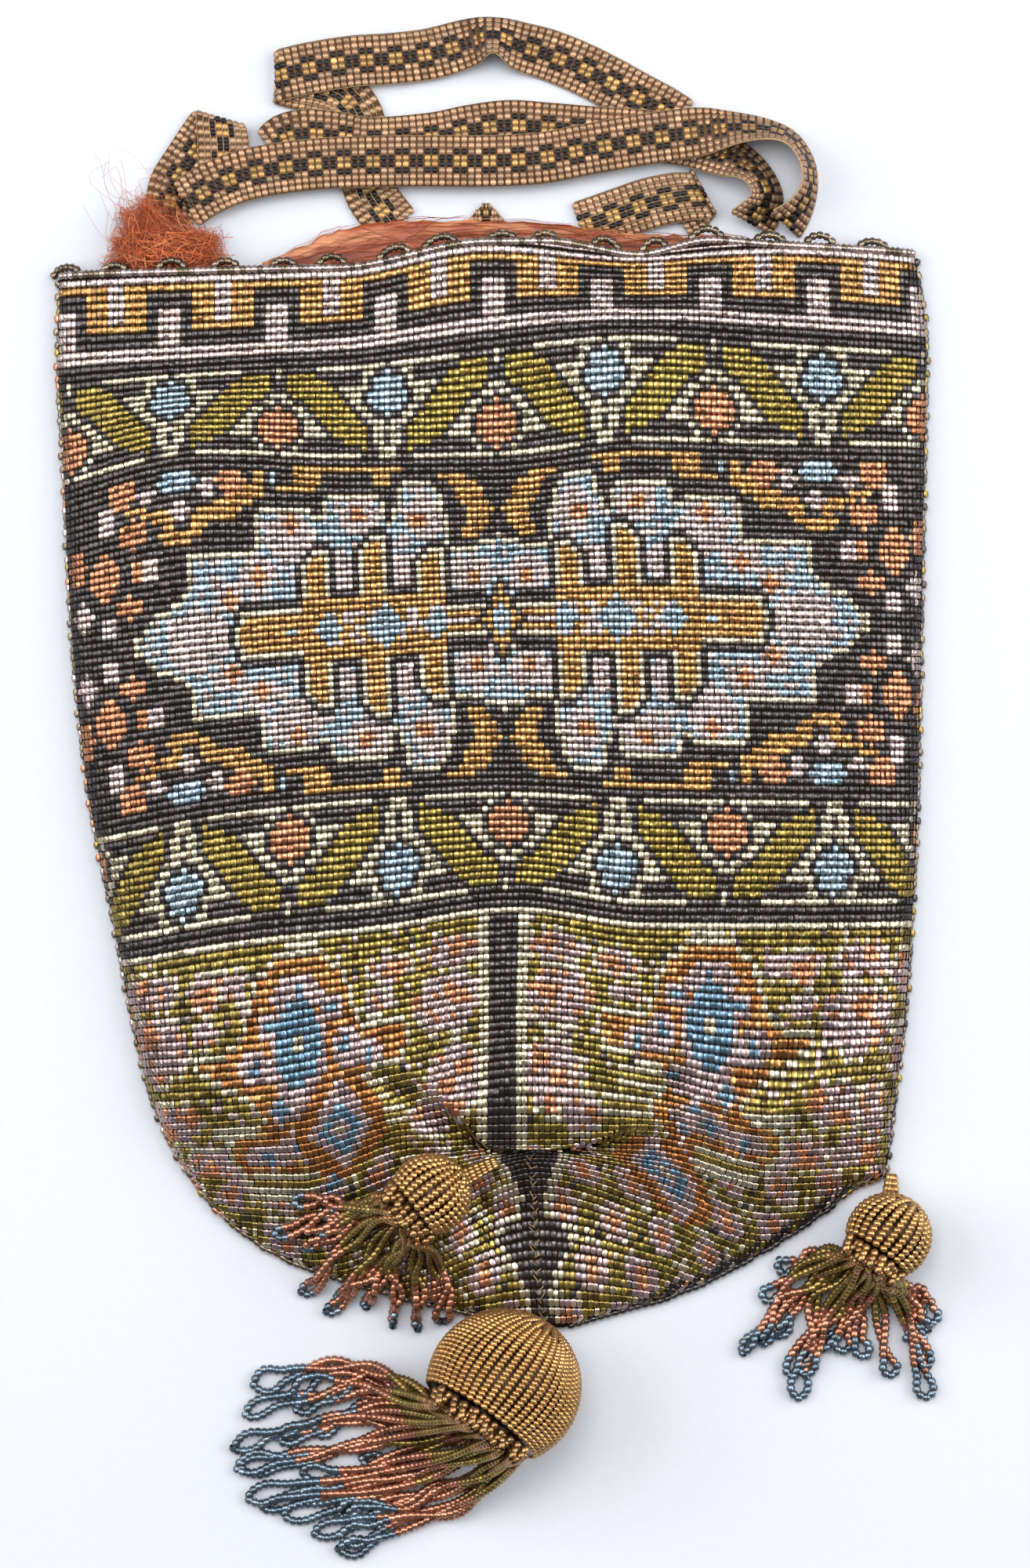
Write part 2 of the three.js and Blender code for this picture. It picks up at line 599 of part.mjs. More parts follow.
function makeFringe({ ball, pole, ends, onPouch }, centre) {
  const { axis, side, up } = poleFrame(pole);
  const rest = (x, y) => (onPouch ? drapeHeight(x, y) + STRAND_LIFT : 0);
  const headRadius = HEAD_SHARE * ball.radius * Math.sqrt(1 - OPENING ** 2);
  const headDepth = OPENING * ball.radius + GAP + HEAD_THICK / 2;
  const headCentre = centre.clone().addScaledVector(axis, -headDepth);
  const half = HEAD_THICK / 2;
  const disc = [
    new THREE.Vector2(0, -half),
    new THREE.Vector2(headRadius, -half),
    new THREE.Vector2(headRadius, half),
    new THREE.Vector2(0, half),
  ];
  const strands = ends.map((end, i) => {
    const { from, to } = RIM_SPREAD;
    const turn = radians(THREE.MathUtils.lerp(from, to, i / (ends.length - 1)));
    const reach = headRadius - STRAND_HALF_WIDTH;
    const root = headCentre
      .clone()
      .addScaledVector(side, reach * Math.cos(turn))
      .addScaledVector(up, reach * Math.sin(turn));
    const out = root.clone().addScaledVector(axis, -STRAND_LEAVE);
    const across = new THREE.Vector3(out.y - end.y, end.x - out.x, 0).normalize();
    const points = [root, out];
    for (let k = 1; k <= STRAND_STEPS; k += 1) {
      const t = k / STRAND_STEPS;
      const x = THREE.MathUtils.lerp(out.x, end.x, t) + 4 * end.bend * t * (1 - t) * across.x;
      const y = THREE.MathUtils.lerp(out.y, end.y, t) + 4 * end.bend * t * (1 - t) * across.y;
      const ground = rest(x, y) + STRAND_HALF_THICK;
      const fall = Math.max(0, 1 - t / STRAND_FALL) ** STRAND_FALL_POWER;
      points.push(new THREE.Vector3(x, y, ground + Math.max(0, out.z - ground) * fall));
    }
    return lock(points, points.length - 1, STRAND_SIDES, () => [STRAND_HALF_WIDTH, STRAND_HALF_THICK]);
  });
  return fuse([alongPole(disc, BALL_SEGMENTS, axis, headCentre), ...strands]);
}

function makeHanger(from, ball, radius) {
  const end = ball.clone().add(from.clone().sub(ball).setLength(radius + GAP));
  const section = new THREE.Shape().absarc(0, 0, HANGER_RADIUS, 0, 2 * Math.PI);
  const extrudePath = new THREE.LineCurve3(from, end);
  return new THREE.ExtrudeGeometry(section, { extrudePath, steps: 3, bevelEnabled: false, curveSegments: 8 });
}

// Silk tuft: a core with arching locks
function makeTuft() {
  const core = new THREE.SphereGeometry(1, 14, 9);
  core.scale(TUFT.long, TUFT.deep, TUFT.high);
  core.translate(TUFT.x, TUFT.y, TUFT.z);
  const locks = TUFT_LOCKS.map((tip) => {
    const root = new THREE.Vector3(TUFT.x + (tip.x - TUFT.x) * LOCK_LEAVE, TUFT.y, TUFT.z);
    const end = new THREE.Vector3(tip.x, tip.y, tip.z);
    const middle = root.clone().lerp(end, LOCK_PEAK);
    middle.z += LOCK_ARCH;
    return lock([root, middle, end], LOCK_STEPS, LOCK_SIDES, (t) => {
      const half = THREE.MathUtils.lerp(LOCK_ROOT, LOCK_TIP, t);
      return [half, half * LOCK_FLATNESS];
    });
  });
  return fuse([core, ...locks]);
}

// Assembly
const pieces = new THREE.Group();

function addPiece(name, geometry, material) {
  const mesh = new THREE.Mesh(geometry, material.clone());
  mesh.name = name;
  pieces.add(mesh);
  return mesh;
}

addPiece("pouch", makePouch(), BEAD_FABRIC);
addPiece("lining", makeLining(), SILK);
addPiece("silk_tuft", makeTuft(), SILK);
for (const [name, route] of Object.entries(STRAPS)) {
  addPiece(name, ribbon(route, STRAP_WIDTH, STRAP_THICK), STRAP_BEADS);
}
for (const tassel of TASSELS) {
  const { name, ball, root, onPouch } = tassel;
  const centre = new THREE.Vector3(ball.x, ball.y, onPouch ? ballHeight(ball) : ball.radius);
  addPiece(`tassel_ball_${name}`, makeBall(tassel, centre), BALL_BEADS);
  addPiece(`tassel_fringe_${name}`, makeFringe(tassel, centre), FRINGE_BEADS);
  const base = onPouch ? groundHeight(root.x, root.y) : 0;
  const from = new THREE.Vector3(root.x, root.y, base + root.lift);
  addPiece(`tassel_hanger_${name}`, makeHanger(from, centre, ball.radius), BALL_BEADS);
}

// The origin is under the middle of the whole purse, on the surface that it lies on.
const box = new THREE.Box3().setFromObject(pieces);
const middle = box.getCenter(new THREE.Vector3());
pieces.position.set(-middle.x, -middle.y, -box.min.z);

const purse = new THREE.Group();
purse.name = "beaded_purse";
purse.add(pieces);

export default purse;
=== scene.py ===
"""Beaded purse lying on its back: single seed beads, straps, tassels and silk."""

import math

import bmesh
import bpy
import numpy as np
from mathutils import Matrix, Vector


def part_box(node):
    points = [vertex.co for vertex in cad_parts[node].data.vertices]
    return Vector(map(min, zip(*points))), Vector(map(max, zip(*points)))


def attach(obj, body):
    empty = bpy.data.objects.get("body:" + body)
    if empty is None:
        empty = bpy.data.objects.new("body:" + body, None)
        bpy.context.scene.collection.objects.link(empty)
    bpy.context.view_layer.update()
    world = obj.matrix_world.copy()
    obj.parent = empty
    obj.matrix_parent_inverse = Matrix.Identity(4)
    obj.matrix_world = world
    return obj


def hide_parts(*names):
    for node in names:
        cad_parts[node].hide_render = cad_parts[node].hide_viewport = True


bl_info = {
    "name": "Beaded purse",
    "version": (1, 0, 0),
    "blender": (4, 5, 0),
    "location": "View3D > Sidebar > Purse",
    "description": "Builds a woven bead purse around its solid parts",
    "category": "Object",
}

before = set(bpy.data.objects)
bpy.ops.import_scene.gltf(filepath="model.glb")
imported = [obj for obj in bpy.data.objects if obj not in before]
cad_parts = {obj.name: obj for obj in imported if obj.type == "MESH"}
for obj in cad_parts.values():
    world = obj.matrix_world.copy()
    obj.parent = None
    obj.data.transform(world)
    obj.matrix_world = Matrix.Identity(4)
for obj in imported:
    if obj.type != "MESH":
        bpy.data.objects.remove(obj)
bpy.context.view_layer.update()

MM = 0.001
SEED = 17
TIP_X, TIP_Y = -1.8, 133.9  # middle and end of the strap tip in the drawing
PX, PX_X, PX_Y = 0.18, 630.0, 1003.0  # millimetres a drawing unit, and the drawing's zero

# Pouch: outline and height of the front, from the mouth down to the gathered tip
WALL, EDGE_RISE, EDGE_ROLL = 1.6, 1.4, 1.2  # bead cloth, its rolled side edge, and the edge's roll
MOUTH_Y, MOUTH_FADE, MOUTH_FADE_POWER = 119.3, 48.0, 1.5  # the mouth, and how its waves fade
SECTIONS = np.array([  # y, left, right, crown
    (119.3, -99.9, 96.8, 13.0), (99.5, -100.3, 99.5, 13.5), (72.5, -99.0, 99.0, 14.5),
    (36.5, -97.2, 98.3, 15.5), (0.5, -93.6, 97.6, 16.0), (-31.9, -87.3, 96.1, 16.5),
    (-53.5, -83.2, 94.5, 17.0), (-71.5, -78.8, 92.3, 17.0), (-85.9, -72.4, 90.5, 13.0),
    (-88.9, -70.2, 90.0, 12.0), (-92.2, -68.0, 82.8, 10.5), (-96.7, -64.4, 77.3, 8.8),
    (-107.5, -50.0, 60.7, 6.6), (-116.5, -24.5, 42.5, 5.0), (-121.9, -1.8, 23.8, 4.0),
    (-124.0, 6.8, 16.6, 3.6)])
MOUTH = np.array([  # x, front edge, back edge
    (-99.9, -2.5, -2.5), (-67.1, -2.0, -1.6), (-34.4, -1.3, 2.2), (-1.4, 4.5, 7.2), (12.6, 4.5, 6.8),
    (32.8, 1.7, 6.3), (49.5, 4.8, 6.2), (64.1, 4.0, 5.4), (96.8, 2.7, 2.7)])
LIP = np.array([  # x, y, drop below the lip, half width of its edge
    (-28.3, -59.2, 0, 4.0), (-19.5, -66.0, 0.8, 3.4), (-10.3, -74.0, 2.2, 2.4), (0.4, -83.3, 4.4, 0.7),
    (12.0, -83.2, 4.4, 0.6), (23.4, -81.9, 4.0, 0.8), (31.5, -79.0, 2.8, 2.2), (43.2, -79.6, 0, 3.2)])
LIP_FROM, LIP_TO = 10.0, 34.0  # the drop fades out between these distances below the lip
FOLDS = (  # x, y, heading, reach, width, rise
    (2.7, -58.9, 90, 20, 5.0, 1.3), (-7.2, -53.5, 95, 18, 5.5, -1.6), (13.5, -51.7, 88, 18, 5.0, -1.2),
    (-17.5, -72.6, -38, 13, 3.6, -2.6), (-24.0, -66.5, -38, 13, 4.5, 1.4), (68.4, -61.6, 45, 14, 4.0, -2.2),
    (77.4, -64.3, 45, 14, 5.0, 1.4), (40.9, -73.3, 85, 9, 3.5, -2.2), (33.3, 118.4, 90, 12, 7.0, -1.6),
    (48.6, 119.3, 90, 14, 7.0, 1.2), (10.0, 112.0, 90, 20, 8.0, 1.3), (-32.4, 110.0, 90, 20, 8.0, -1.0),
    (-53.0, 95.0, 88, 28, 9.0, 1.1), (0.0, 85.0, 80, 26, 9.0, 0.9))
RING_LEVELS = np.r_[np.linspace(MOUTH_Y, -56, 60), np.linspace(-56.8, -91, 48), np.linspace(-92, -124, 28)]
RING_SPOTS, BACK_SPOTS = 97, 25  # points of a ring on the front and on the back
LEAST_HEIGHT = WALL - 0.6  # the ground of the front stays this far above the floor
OUTER_SKIN, INNER_SKIN = 0.35, 3.2  # how far the skins of the ground stand in from the side edges
BACK_SKIN = 0.35  # height of the ground of the back
INNER_RINGS = slice(None, -16, 5)  # the inside takes fewer rings, and ends above the tip

# Bead rows of the front: row number, left and right ends, and heights of seven spots between
# them, in drawing units down from the top
ROW_LINES = np.array([
    (0, 75, 1168, 355, 351, 346, 314, 329, 317, 324),
    (11, 75, 1172, 467, 458, 448, 424, 410, 418, 427),
    (27, 76, 1180, 618, 580, 586, 584, 564, 568, 569),
    (52, 92, 1176, 838, 818, 803, 792, 790, 793, 797),
    (77, 124, 1170, 1073, 1040, 1022, 1013, 1021, 1024, 1026),
    (93, 152, 1163, 1229, 1200, 1181, 1158, 1178, 1179, 1178),
    (105, 178, 1152, 1346, 1330, 1297, 1273, 1291, 1304, 1303),
    (113, 203, 1142, 1428, 1414, 1378, 1350, 1372, 1402, 1392),
    (124, 235, 1132, 1512, 1517, 1472, 1462, 1466, 1503, 1497),
    (128, 246, 1128, 1548, 1554, 1508, 1468, 1492, 1540, 1535),
    (150, 250, 1122, 1756, 1762, 1716, 1692, 1700, 1746, 1742)], dtype=float)
COLUMN_PITCH = 1.31
ROWS, HALF_COLUMNS = 151, 88
ROW_SPOTS, ROW_SPARE = 700, 3.0  # points along a row, and how far it is followed past the sides
SIDE_CLEAR, MOUTH_CLEAR, ROW_CLEAR = 0.02, 0.6, 0.2  # room at the sides, past the mouth, at a row's ends
FEWEST_SPOTS = 8  # a row with fewer points on the front carries no beads
AHEAD = 0.3  # step along a row that gives its heading
MIDDLE = np.array([  # row number and drawing position of its middle column
    (0, 633), (27, 634), (52, 640), (84, 649), (93, 643), (124, 640), (132, 677), (150, 690)], dtype=float)
BEAD_LEAN = 0.09  # how far single beads lean, in radians
GROUND_LEAD = 1.0  # the ground falls off at the lip this far ahead of the beads
GROUND_DEPTH = 0.55  # thread ground below the bead tops
BLACK_SIZE = np.array([0.96, 0.96, 1.0])  # black beads are smaller and show the thread between them
TUCK_PITCH = 0.45  # rows closer than this are out of sight inside the tuck
CREASE_FACE = 0.3  # upward part of the normal below which a bead is lost in a crease
CREASE_SHARE = 0.4  # creases lie within this share of the width on both sides of the middle
PLACE_JITTER, SIZE_JITTER = 0.03, 0.035  # unevenness of places in millimetres, and of sizes as a share
FRONT_STRETCHES = (  # piece, first row, and the row after its last
    ("pouch_beads_mouth", 0, 30), ("pouch_beads_middle", 30, 75),
    ("pouch_beads_lower", 75, 112), ("pouch_beads_base", 112, ROWS))
BACK_PITCH, BACK_START, BACK_END, BACK_SIDE = 1.7, 0.9, 0.8, 1.6  # rows apart, and room round them
BACK_BEAD_Z, BACK_BEAD_HIGH = 0.42, 0.8

# Bead colours
PALETTE = {
    "black": "454140", "mauve": "ad9c98", "gold": "a0784a", "olive": "806f3a", "cream": "aca38c",
    "blue": "8496a2", "copper": "a87456", "brown": "a07f62", "bronze": "b08856", "grey": "6f6353",
    "umber": "94714a", "moss": "857040", "rose": "a2705a", "slate": "616f7b", "jet": "1a1716",
    "loden": "60532b", "azure": "5f788a", "ochre": "ab8650", "heather": "9d8886", "rust": "8c5c34"}
(BLACK, MAUVE, GOLD, OLIVE, CREAM, BLUE, COPPER, BROWN, BRONZE, GREY, UMBER, MOSS, ROSE,
 SLATE, JET, LODEN, AZURE, OCHRE, HEATHER, RUST) = range(len(PALETTE))
CHART_LETTERS = {"K": BLACK, "C": CREAM, "O": OLIVE, "P": COPPER, "B": BLUE, "M": MAUVE, "G": GOLD}
LEAF_CHART = (  # half of the leaf band, mirrored at both ends
    "KCCCCCCCCCCCCCCKKKCC", "PKKCKKKKKKKKKKKOKKCC", "PPPKCKKKKKKKOOOOKCCK", "PPPPKCCCCKOOOOOOKCCK",
    "PPPPKCCCKOOOOOOOKCCC", "PPPPKCCKOOOOOOOKCCCK", "PPPKCCKOOOOOOOKCCKKB", "PKKCCKOOOOOOOKCCKBBB",
    "KCCKKOOOOOOOKCCKBBBB", "CCKOOOOOOOOKCCCKBBBB", "KKOOOOOOOOKCCCCCKBBB", "KKOOOOOOOKKKKKKCKBBB",
    "CKOOOOOKKKKKKKKCCKKB", "CKKKKKKCCCCCCCCCCCCK")
LEAF_PERIOD, LEAF_ROWS = 38, (14, 77)  # columns of a repeat, and first rows of the two bands
KEY_CHART = (  # one turn of the key band, from its third row down
    "GGGGGGGGGGGGMMMGGGG", "KKKKKKKKGGGGMMMGGGG", "KKKKKKKKGGGGMMMGGGG", "KKMMMMKKGGGGMMMGGGG",
    "KKMMMMKKGGGGMMMGGGG", "KKMMMMKKGGGGGGGGGGG", "KKMMMMKKKKKKKKKKKKK", "KKMMMMKKKKKKKKKKKKK")
KEY_SHIFT, KEY_ROW = 4, 2
MAUVE_LINES, BLACK_LINES = (0, 10), (12, 28, 75, 91)  # first rows of the plain lines, two rows each
FIELD_ROWS = slice(30, 75)  # dark panel of the medallion
AXIS_ROW = 52  # the medallion is mirrored about this row and about the middle column
FIELD = np.array([  # columns from the middle, and rows to the edge of the blue field
    (0, 13), (3, 12.5), (4, 11.5), (8, 11), (8.5, 14), (9.5, 18.5), (11, 20.5), (12.5, 21.5), (16.5, 21.5),
    (17.8, 20), (18.2, 15), (19.8, 15), (20, 18.8), (22, 19.6), (29, 19.6), (30, 18), (30.3, 16.4),
    (31.5, 16.8), (33, 17.2), (41, 17.2), (42, 16), (42.3, 11.6), (54, 11.6), (54.3, 7), (56, 5.5), (57, 5),
    (60, 4), (61.5, 3), (62.5, 2), (64, 1), (64.4, -1)])
FIELD_SPECKLE = 0.25
FIELD_PATCHES = (  # mauve: column, row, half sizes
    (5, 7, 4, 3), (13, 16, 3.6, 3.4), (24, 16, 3.4, 2.6), (36, 13, 4.2, 3.6), (42, 8.5, 3.4, 2.6),
    (47, 5.5, 3, 2.2), (53, 1.5, 6, 2.6), (17.3, 8, 2, 3), (27.5, 8, 1.6, 3))
FIELD_HEARTS = ((4.5, 6.5), (14, 15.3), (24.2, 16.2), (36, 15), (42, 8), (47, 5))  # copper
HEART_SIZE = (1.4, 1.2)
BODY_FROM, BODY_NARROW, BODY_TO = 9, 35, 46  # columns where the gold body starts, narrows and ends
BODY_HALVES = (4, 3)  # rows from its middle to its edge, before and after it narrows
PRONGS = ((10, 14, 11), (20, 24, 13), (30, 34, 11))  # first and last column, top row
PRONG_SLANT = 2  # rows that are cut off a prong's corner
BODY_SPOTS = ((11, 2), (20, 3), (30, 2), (36.5, 0.6))  # blue lozenges: column, reach
BODY_MAUVE, MAUVE_HALF, MAUVE_TO = 0.55, 2, 31  # share of mauve beads in the body, and where they end
NECK_COLUMNS, NECK_ROWS = (3, 9), (MAUVE, GOLD, CREAM, BLACK, BLACK)
HUB, HUB_RINGS = (3, 5), ((1.35, BLACK), (1.0, GOLD), (0.55, BLUE))  # lozenge at the very middle
GOLD_RUNS = (  # row, first and last column
    (22, 6, 10), (21, 4, 8.5), (20, 3, 7.5), (19, 2.5, 7), (18, 1.5, 6), (17, 1, 5.5), (16, 1.5, 5.5),
    (15, 2, 5.5), (14, 3, 6), (13, 4, 6), (23, 17, 35), (22, 18.5, 21), (21, 18.5, 21), (22, 31, 35.5),
    (21, 31, 35.5), (20, 32, 38), (22, 40.5, 42), (21, 40.5, 42), (20, 41, 45), (19, 41, 45), (18, 43, 49),
    (17, 45, 52), (16, 46, 53), (15, 51, 53), (15, 57, 58), (14, 52, 59), (13, 54, 58), (16, 57, 60),
    (17, 57, 62), (18, 62, 65))
SPOTS = (  # column, row, half sizes, colour
    (46.5, 20.8, 2.6, 1.9, COPPER), (56, 21, 3.2, 1.7, BLUE), (66, 20.8, 2.8, 2, COPPER),
    (50.6, 20, 1.4, 1.3, MAUVE), (61.5, 19.6, 1.6, 1.4, MAUVE), (55.5, 17, 1.6, 1.6, MAUVE),
    (39, 21.5, 1, 1.3, BLUE), (69, 17.5, 1.8, 2, MAUVE), (64, 15, 2.4, 2, COPPER),
    (69.5, 10, 3.2, 3.2, COPPER), (62, 10, 2.6, 1.8, MAUVE), (63.5, 10, 1.2, 1.2, COPPER),
    (65, 5.5, 2.2, 1.6, COPPER), (69, 3, 1.6, 1.6, MAUVE), (74, 5, 2, 2, MAUVE), (75, 12, 2, 2.4, COPPER))
FIGURE = np.array([  # row, and first and last column of the figure in each lower panel
    (95, 31.5, 40), (96, 30.5, 41.5), (97, 29, 43), (98, 28, 44), (100, 27, 45), (102, 26.2, 46.2),
    (104, 25.5, 47), (104.6, 24, 47.5), (105, 18, 49), (106, 17, 55), (107, 17, 55.5), (108.4, 17, 54.5),
    (110, 17.3, 50), (110.8, 18.5, 48), (111.2, 28.5, 46.8), (112, 29, 45), (114, 29, 43.5),
    (115, 27, 44.5), (116, 25.6, 48), (117, 25.5, 50), (120, 26.5, 50.5), (122, 30, 48), (124.5, 33, 46)])
FIGURE_FROM, FIGURE_TO = 95, 125  # its first and last rows
PANEL_ROW = 94  # first row of the lower panels
PANEL_FLECKS = ((0, 0.28, LODEN), (0, 0.03, BLACK), (0.92, 1, HEATHER))  # range of chance, colour
FIGURE_FLECKS = ((0.65, 1, GOLD),)
FLOWER_FLECKS = ((0, 0.14, COPPER),)
PANEL_FLOWERS = (  # mauve flowers of the lower panels: column, row, half sizes
    (9.5, 97.5, 5, 1.8), (10, 104, 5.5, 3.8), (20, 98.5, 3.2, 1.6), (22, 102.5, 3, 1.4), (9, 114, 5, 4.2),
    (14, 118.5, 4, 2), (48.5, 98, 3.4, 1.8), (53, 98.5, 3, 2), (53, 103, 2.2, 1.4), (63.5, 97.5, 5.5, 2),
    (63, 104.5, 7, 3.8), (60, 114, 5, 2.6), (67, 115, 3, 4), (54, 121, 5, 3), (63, 121, 4, 2.6),
    (72, 99, 3, 2.5), (74, 108, 4, 3), (74, 118, 4, 3), (62, 128, 6, 3), (47, 126, 4, 2.4))
PANEL_HEARTS = (  # their copper hearts: column, row, half sizes
    (8, 97, 1.5, 1), (8.3, 103.3, 1.8, 1.3), (15.5, 103.5, 1, 1), (19, 98.6, 1.6, 1.3), (7, 112.5, 1.4, 1),
    (10, 114.3, 1.6, 1.2), (8.5, 117.5, 1.3, 1), (15.5, 118, 1.2, 1), (52.5, 98.6, 1.8, 1.6),
    (64.8, 96.6, 1.3, 1.2), (63.8, 103, 2, 1.5), (56.5, 113, 1.6, 1.2), (61, 115.8, 1.8, 1.2),
    (54.5, 121.8, 1.8, 1.3), (47.5, 125, 1.8, 1.2), (66, 121, 1.4, 1.6), (74, 108, 1.6, 1.2))
PANEL_RUNS = (  # row, first and last column, colour
    (94, 33, 38, CREAM), (112, 21, 28, CREAM), (114, 21, 28, CREAM), (116, 18, 25, CREAM),
    (118, 18, 25, CREAM), (113, 21, 28, OLIVE), (117, 18, 25, OLIVE), (115, 45, 52, CREAM),
    (116, 45, 52, CREAM), (122, 35, 46, CREAM), (123, 35, 46, OLIVE), (124, 35, 46, CREAM))
FIGURE_HEARTS = (  # mauve parts of the figure: column, row, half sizes
    (36.5, 100, 4.6, 2.8), (36.6, 106.5, 5.2, 5.6), (25.5, 108.2, 4.0, 1.8), (28.3, 106.6, 2.6, 2.0),
    (44.3, 107.8, 3.0, 2.2), (30.5, 102, 2.4, 1.8), (41.5, 103, 2.4, 1.8), (35, 112.6, 6.5, 2.0),
    (35, 117.6, 6.0, 2.0), (43.3, 119.2, 4.2, 1.8))
PETAL_COLUMNS, PETAL_ROWS = 9, 6  # how far apart the flowers of the petals stand
PETAL_ROW, PETAL_FIRST, PETAL_SHIFT, PETAL_SQUASH = 123, 125, 5, 1.25  # where they start, and their form
PETAL_FLECKS = ((0.7, 1, LODEN), (0, 0.22, CREAM), (0.95, 1, BLACK))
PETAL_RINGS = ((2.95, HEATHER), (1.4, COPPER))
OUTLINE_SHARE = 0.6  # share of cream beads round the flowers
SPRIGS = (  # small blue crosses of the panel figure: column, row
    (36, 99.7), (30.5, 102), (41.5, 103), (28.3, 106.8), (24, 108.4), (44.3, 107.7), (30.8, 112), (40, 113),
    (34.6, 116), (37, 118), (32, 119.4), (43.3, 119.2), (32, 124))
SPRIG_RINGS = ((2.1, HEATHER), (1.1, AZURE))
OVAL, OVAL_HEART = (36.6, 105.4, 4.1, 4.9), (36.6, 105.4, 0.8, 1.1)  # blue eye: column, row, half sizes
GEMS = ((-29.5, 116.8), (27.0, 127.6))  # blue-ringed lozenges: column, row
GEM_HALF, GEM_FIELD = (3.8, 4.2), (8, 6.5)
GEM_RINGS = ((1.6, HEATHER), (1, AZURE), (0.55, HEATHER), (0.2, CREAM))
STRIPE_TO, STRIPE_RINGS = 127, ((4, CREAM), (2, BLACK))  # dark stripe between the panels
SEAM_ROW = 126  # first row that the seam below the lip is painted on
SEAM = np.array([  # y, x of the middle and half width of the dark seam below the lip, drawing units
    (1440, 672, 44), (1468, 675, 38), (1500, 678, 24), (1530, 680, 12), (1546, 680, 14), (1560, 681, 32),
    (1578, 682, 44), (1600, 683, 32), (1630, 685, 18), (1660, 690, 12), (1705, 698, 10)], dtype=float)
STITCH_FROM, STITCH_TO, STITCH_STEP = 1478, 1690, 12  # stitches down the seam, drawing units
STITCH_LEAST, STITCH_MOST = (3, 3, -4), (8, 12, 4)  # their reach, rise and start, drawing units
STITCH_RISE, STITCH_THREAD = (-0.3, 0.2, 0.2, -0.4), (0.16, 0.16)
SEAM_BORDER = 11  # width of the cream border on both sides of the seam, drawing units
RIM_DARK = np.array([  # x, and the height below which the rim of the right petal is dark, drawing units
    (700, 1760), (780, 1680), (860, 1636), (940, 1600), (1020, 1550), (1100, 1500)], dtype=float)
RIM_FROM, RIM_CHECK, RIM_GAP = 720, (7, 9), 3  # where the rim starts, and how it is dotted

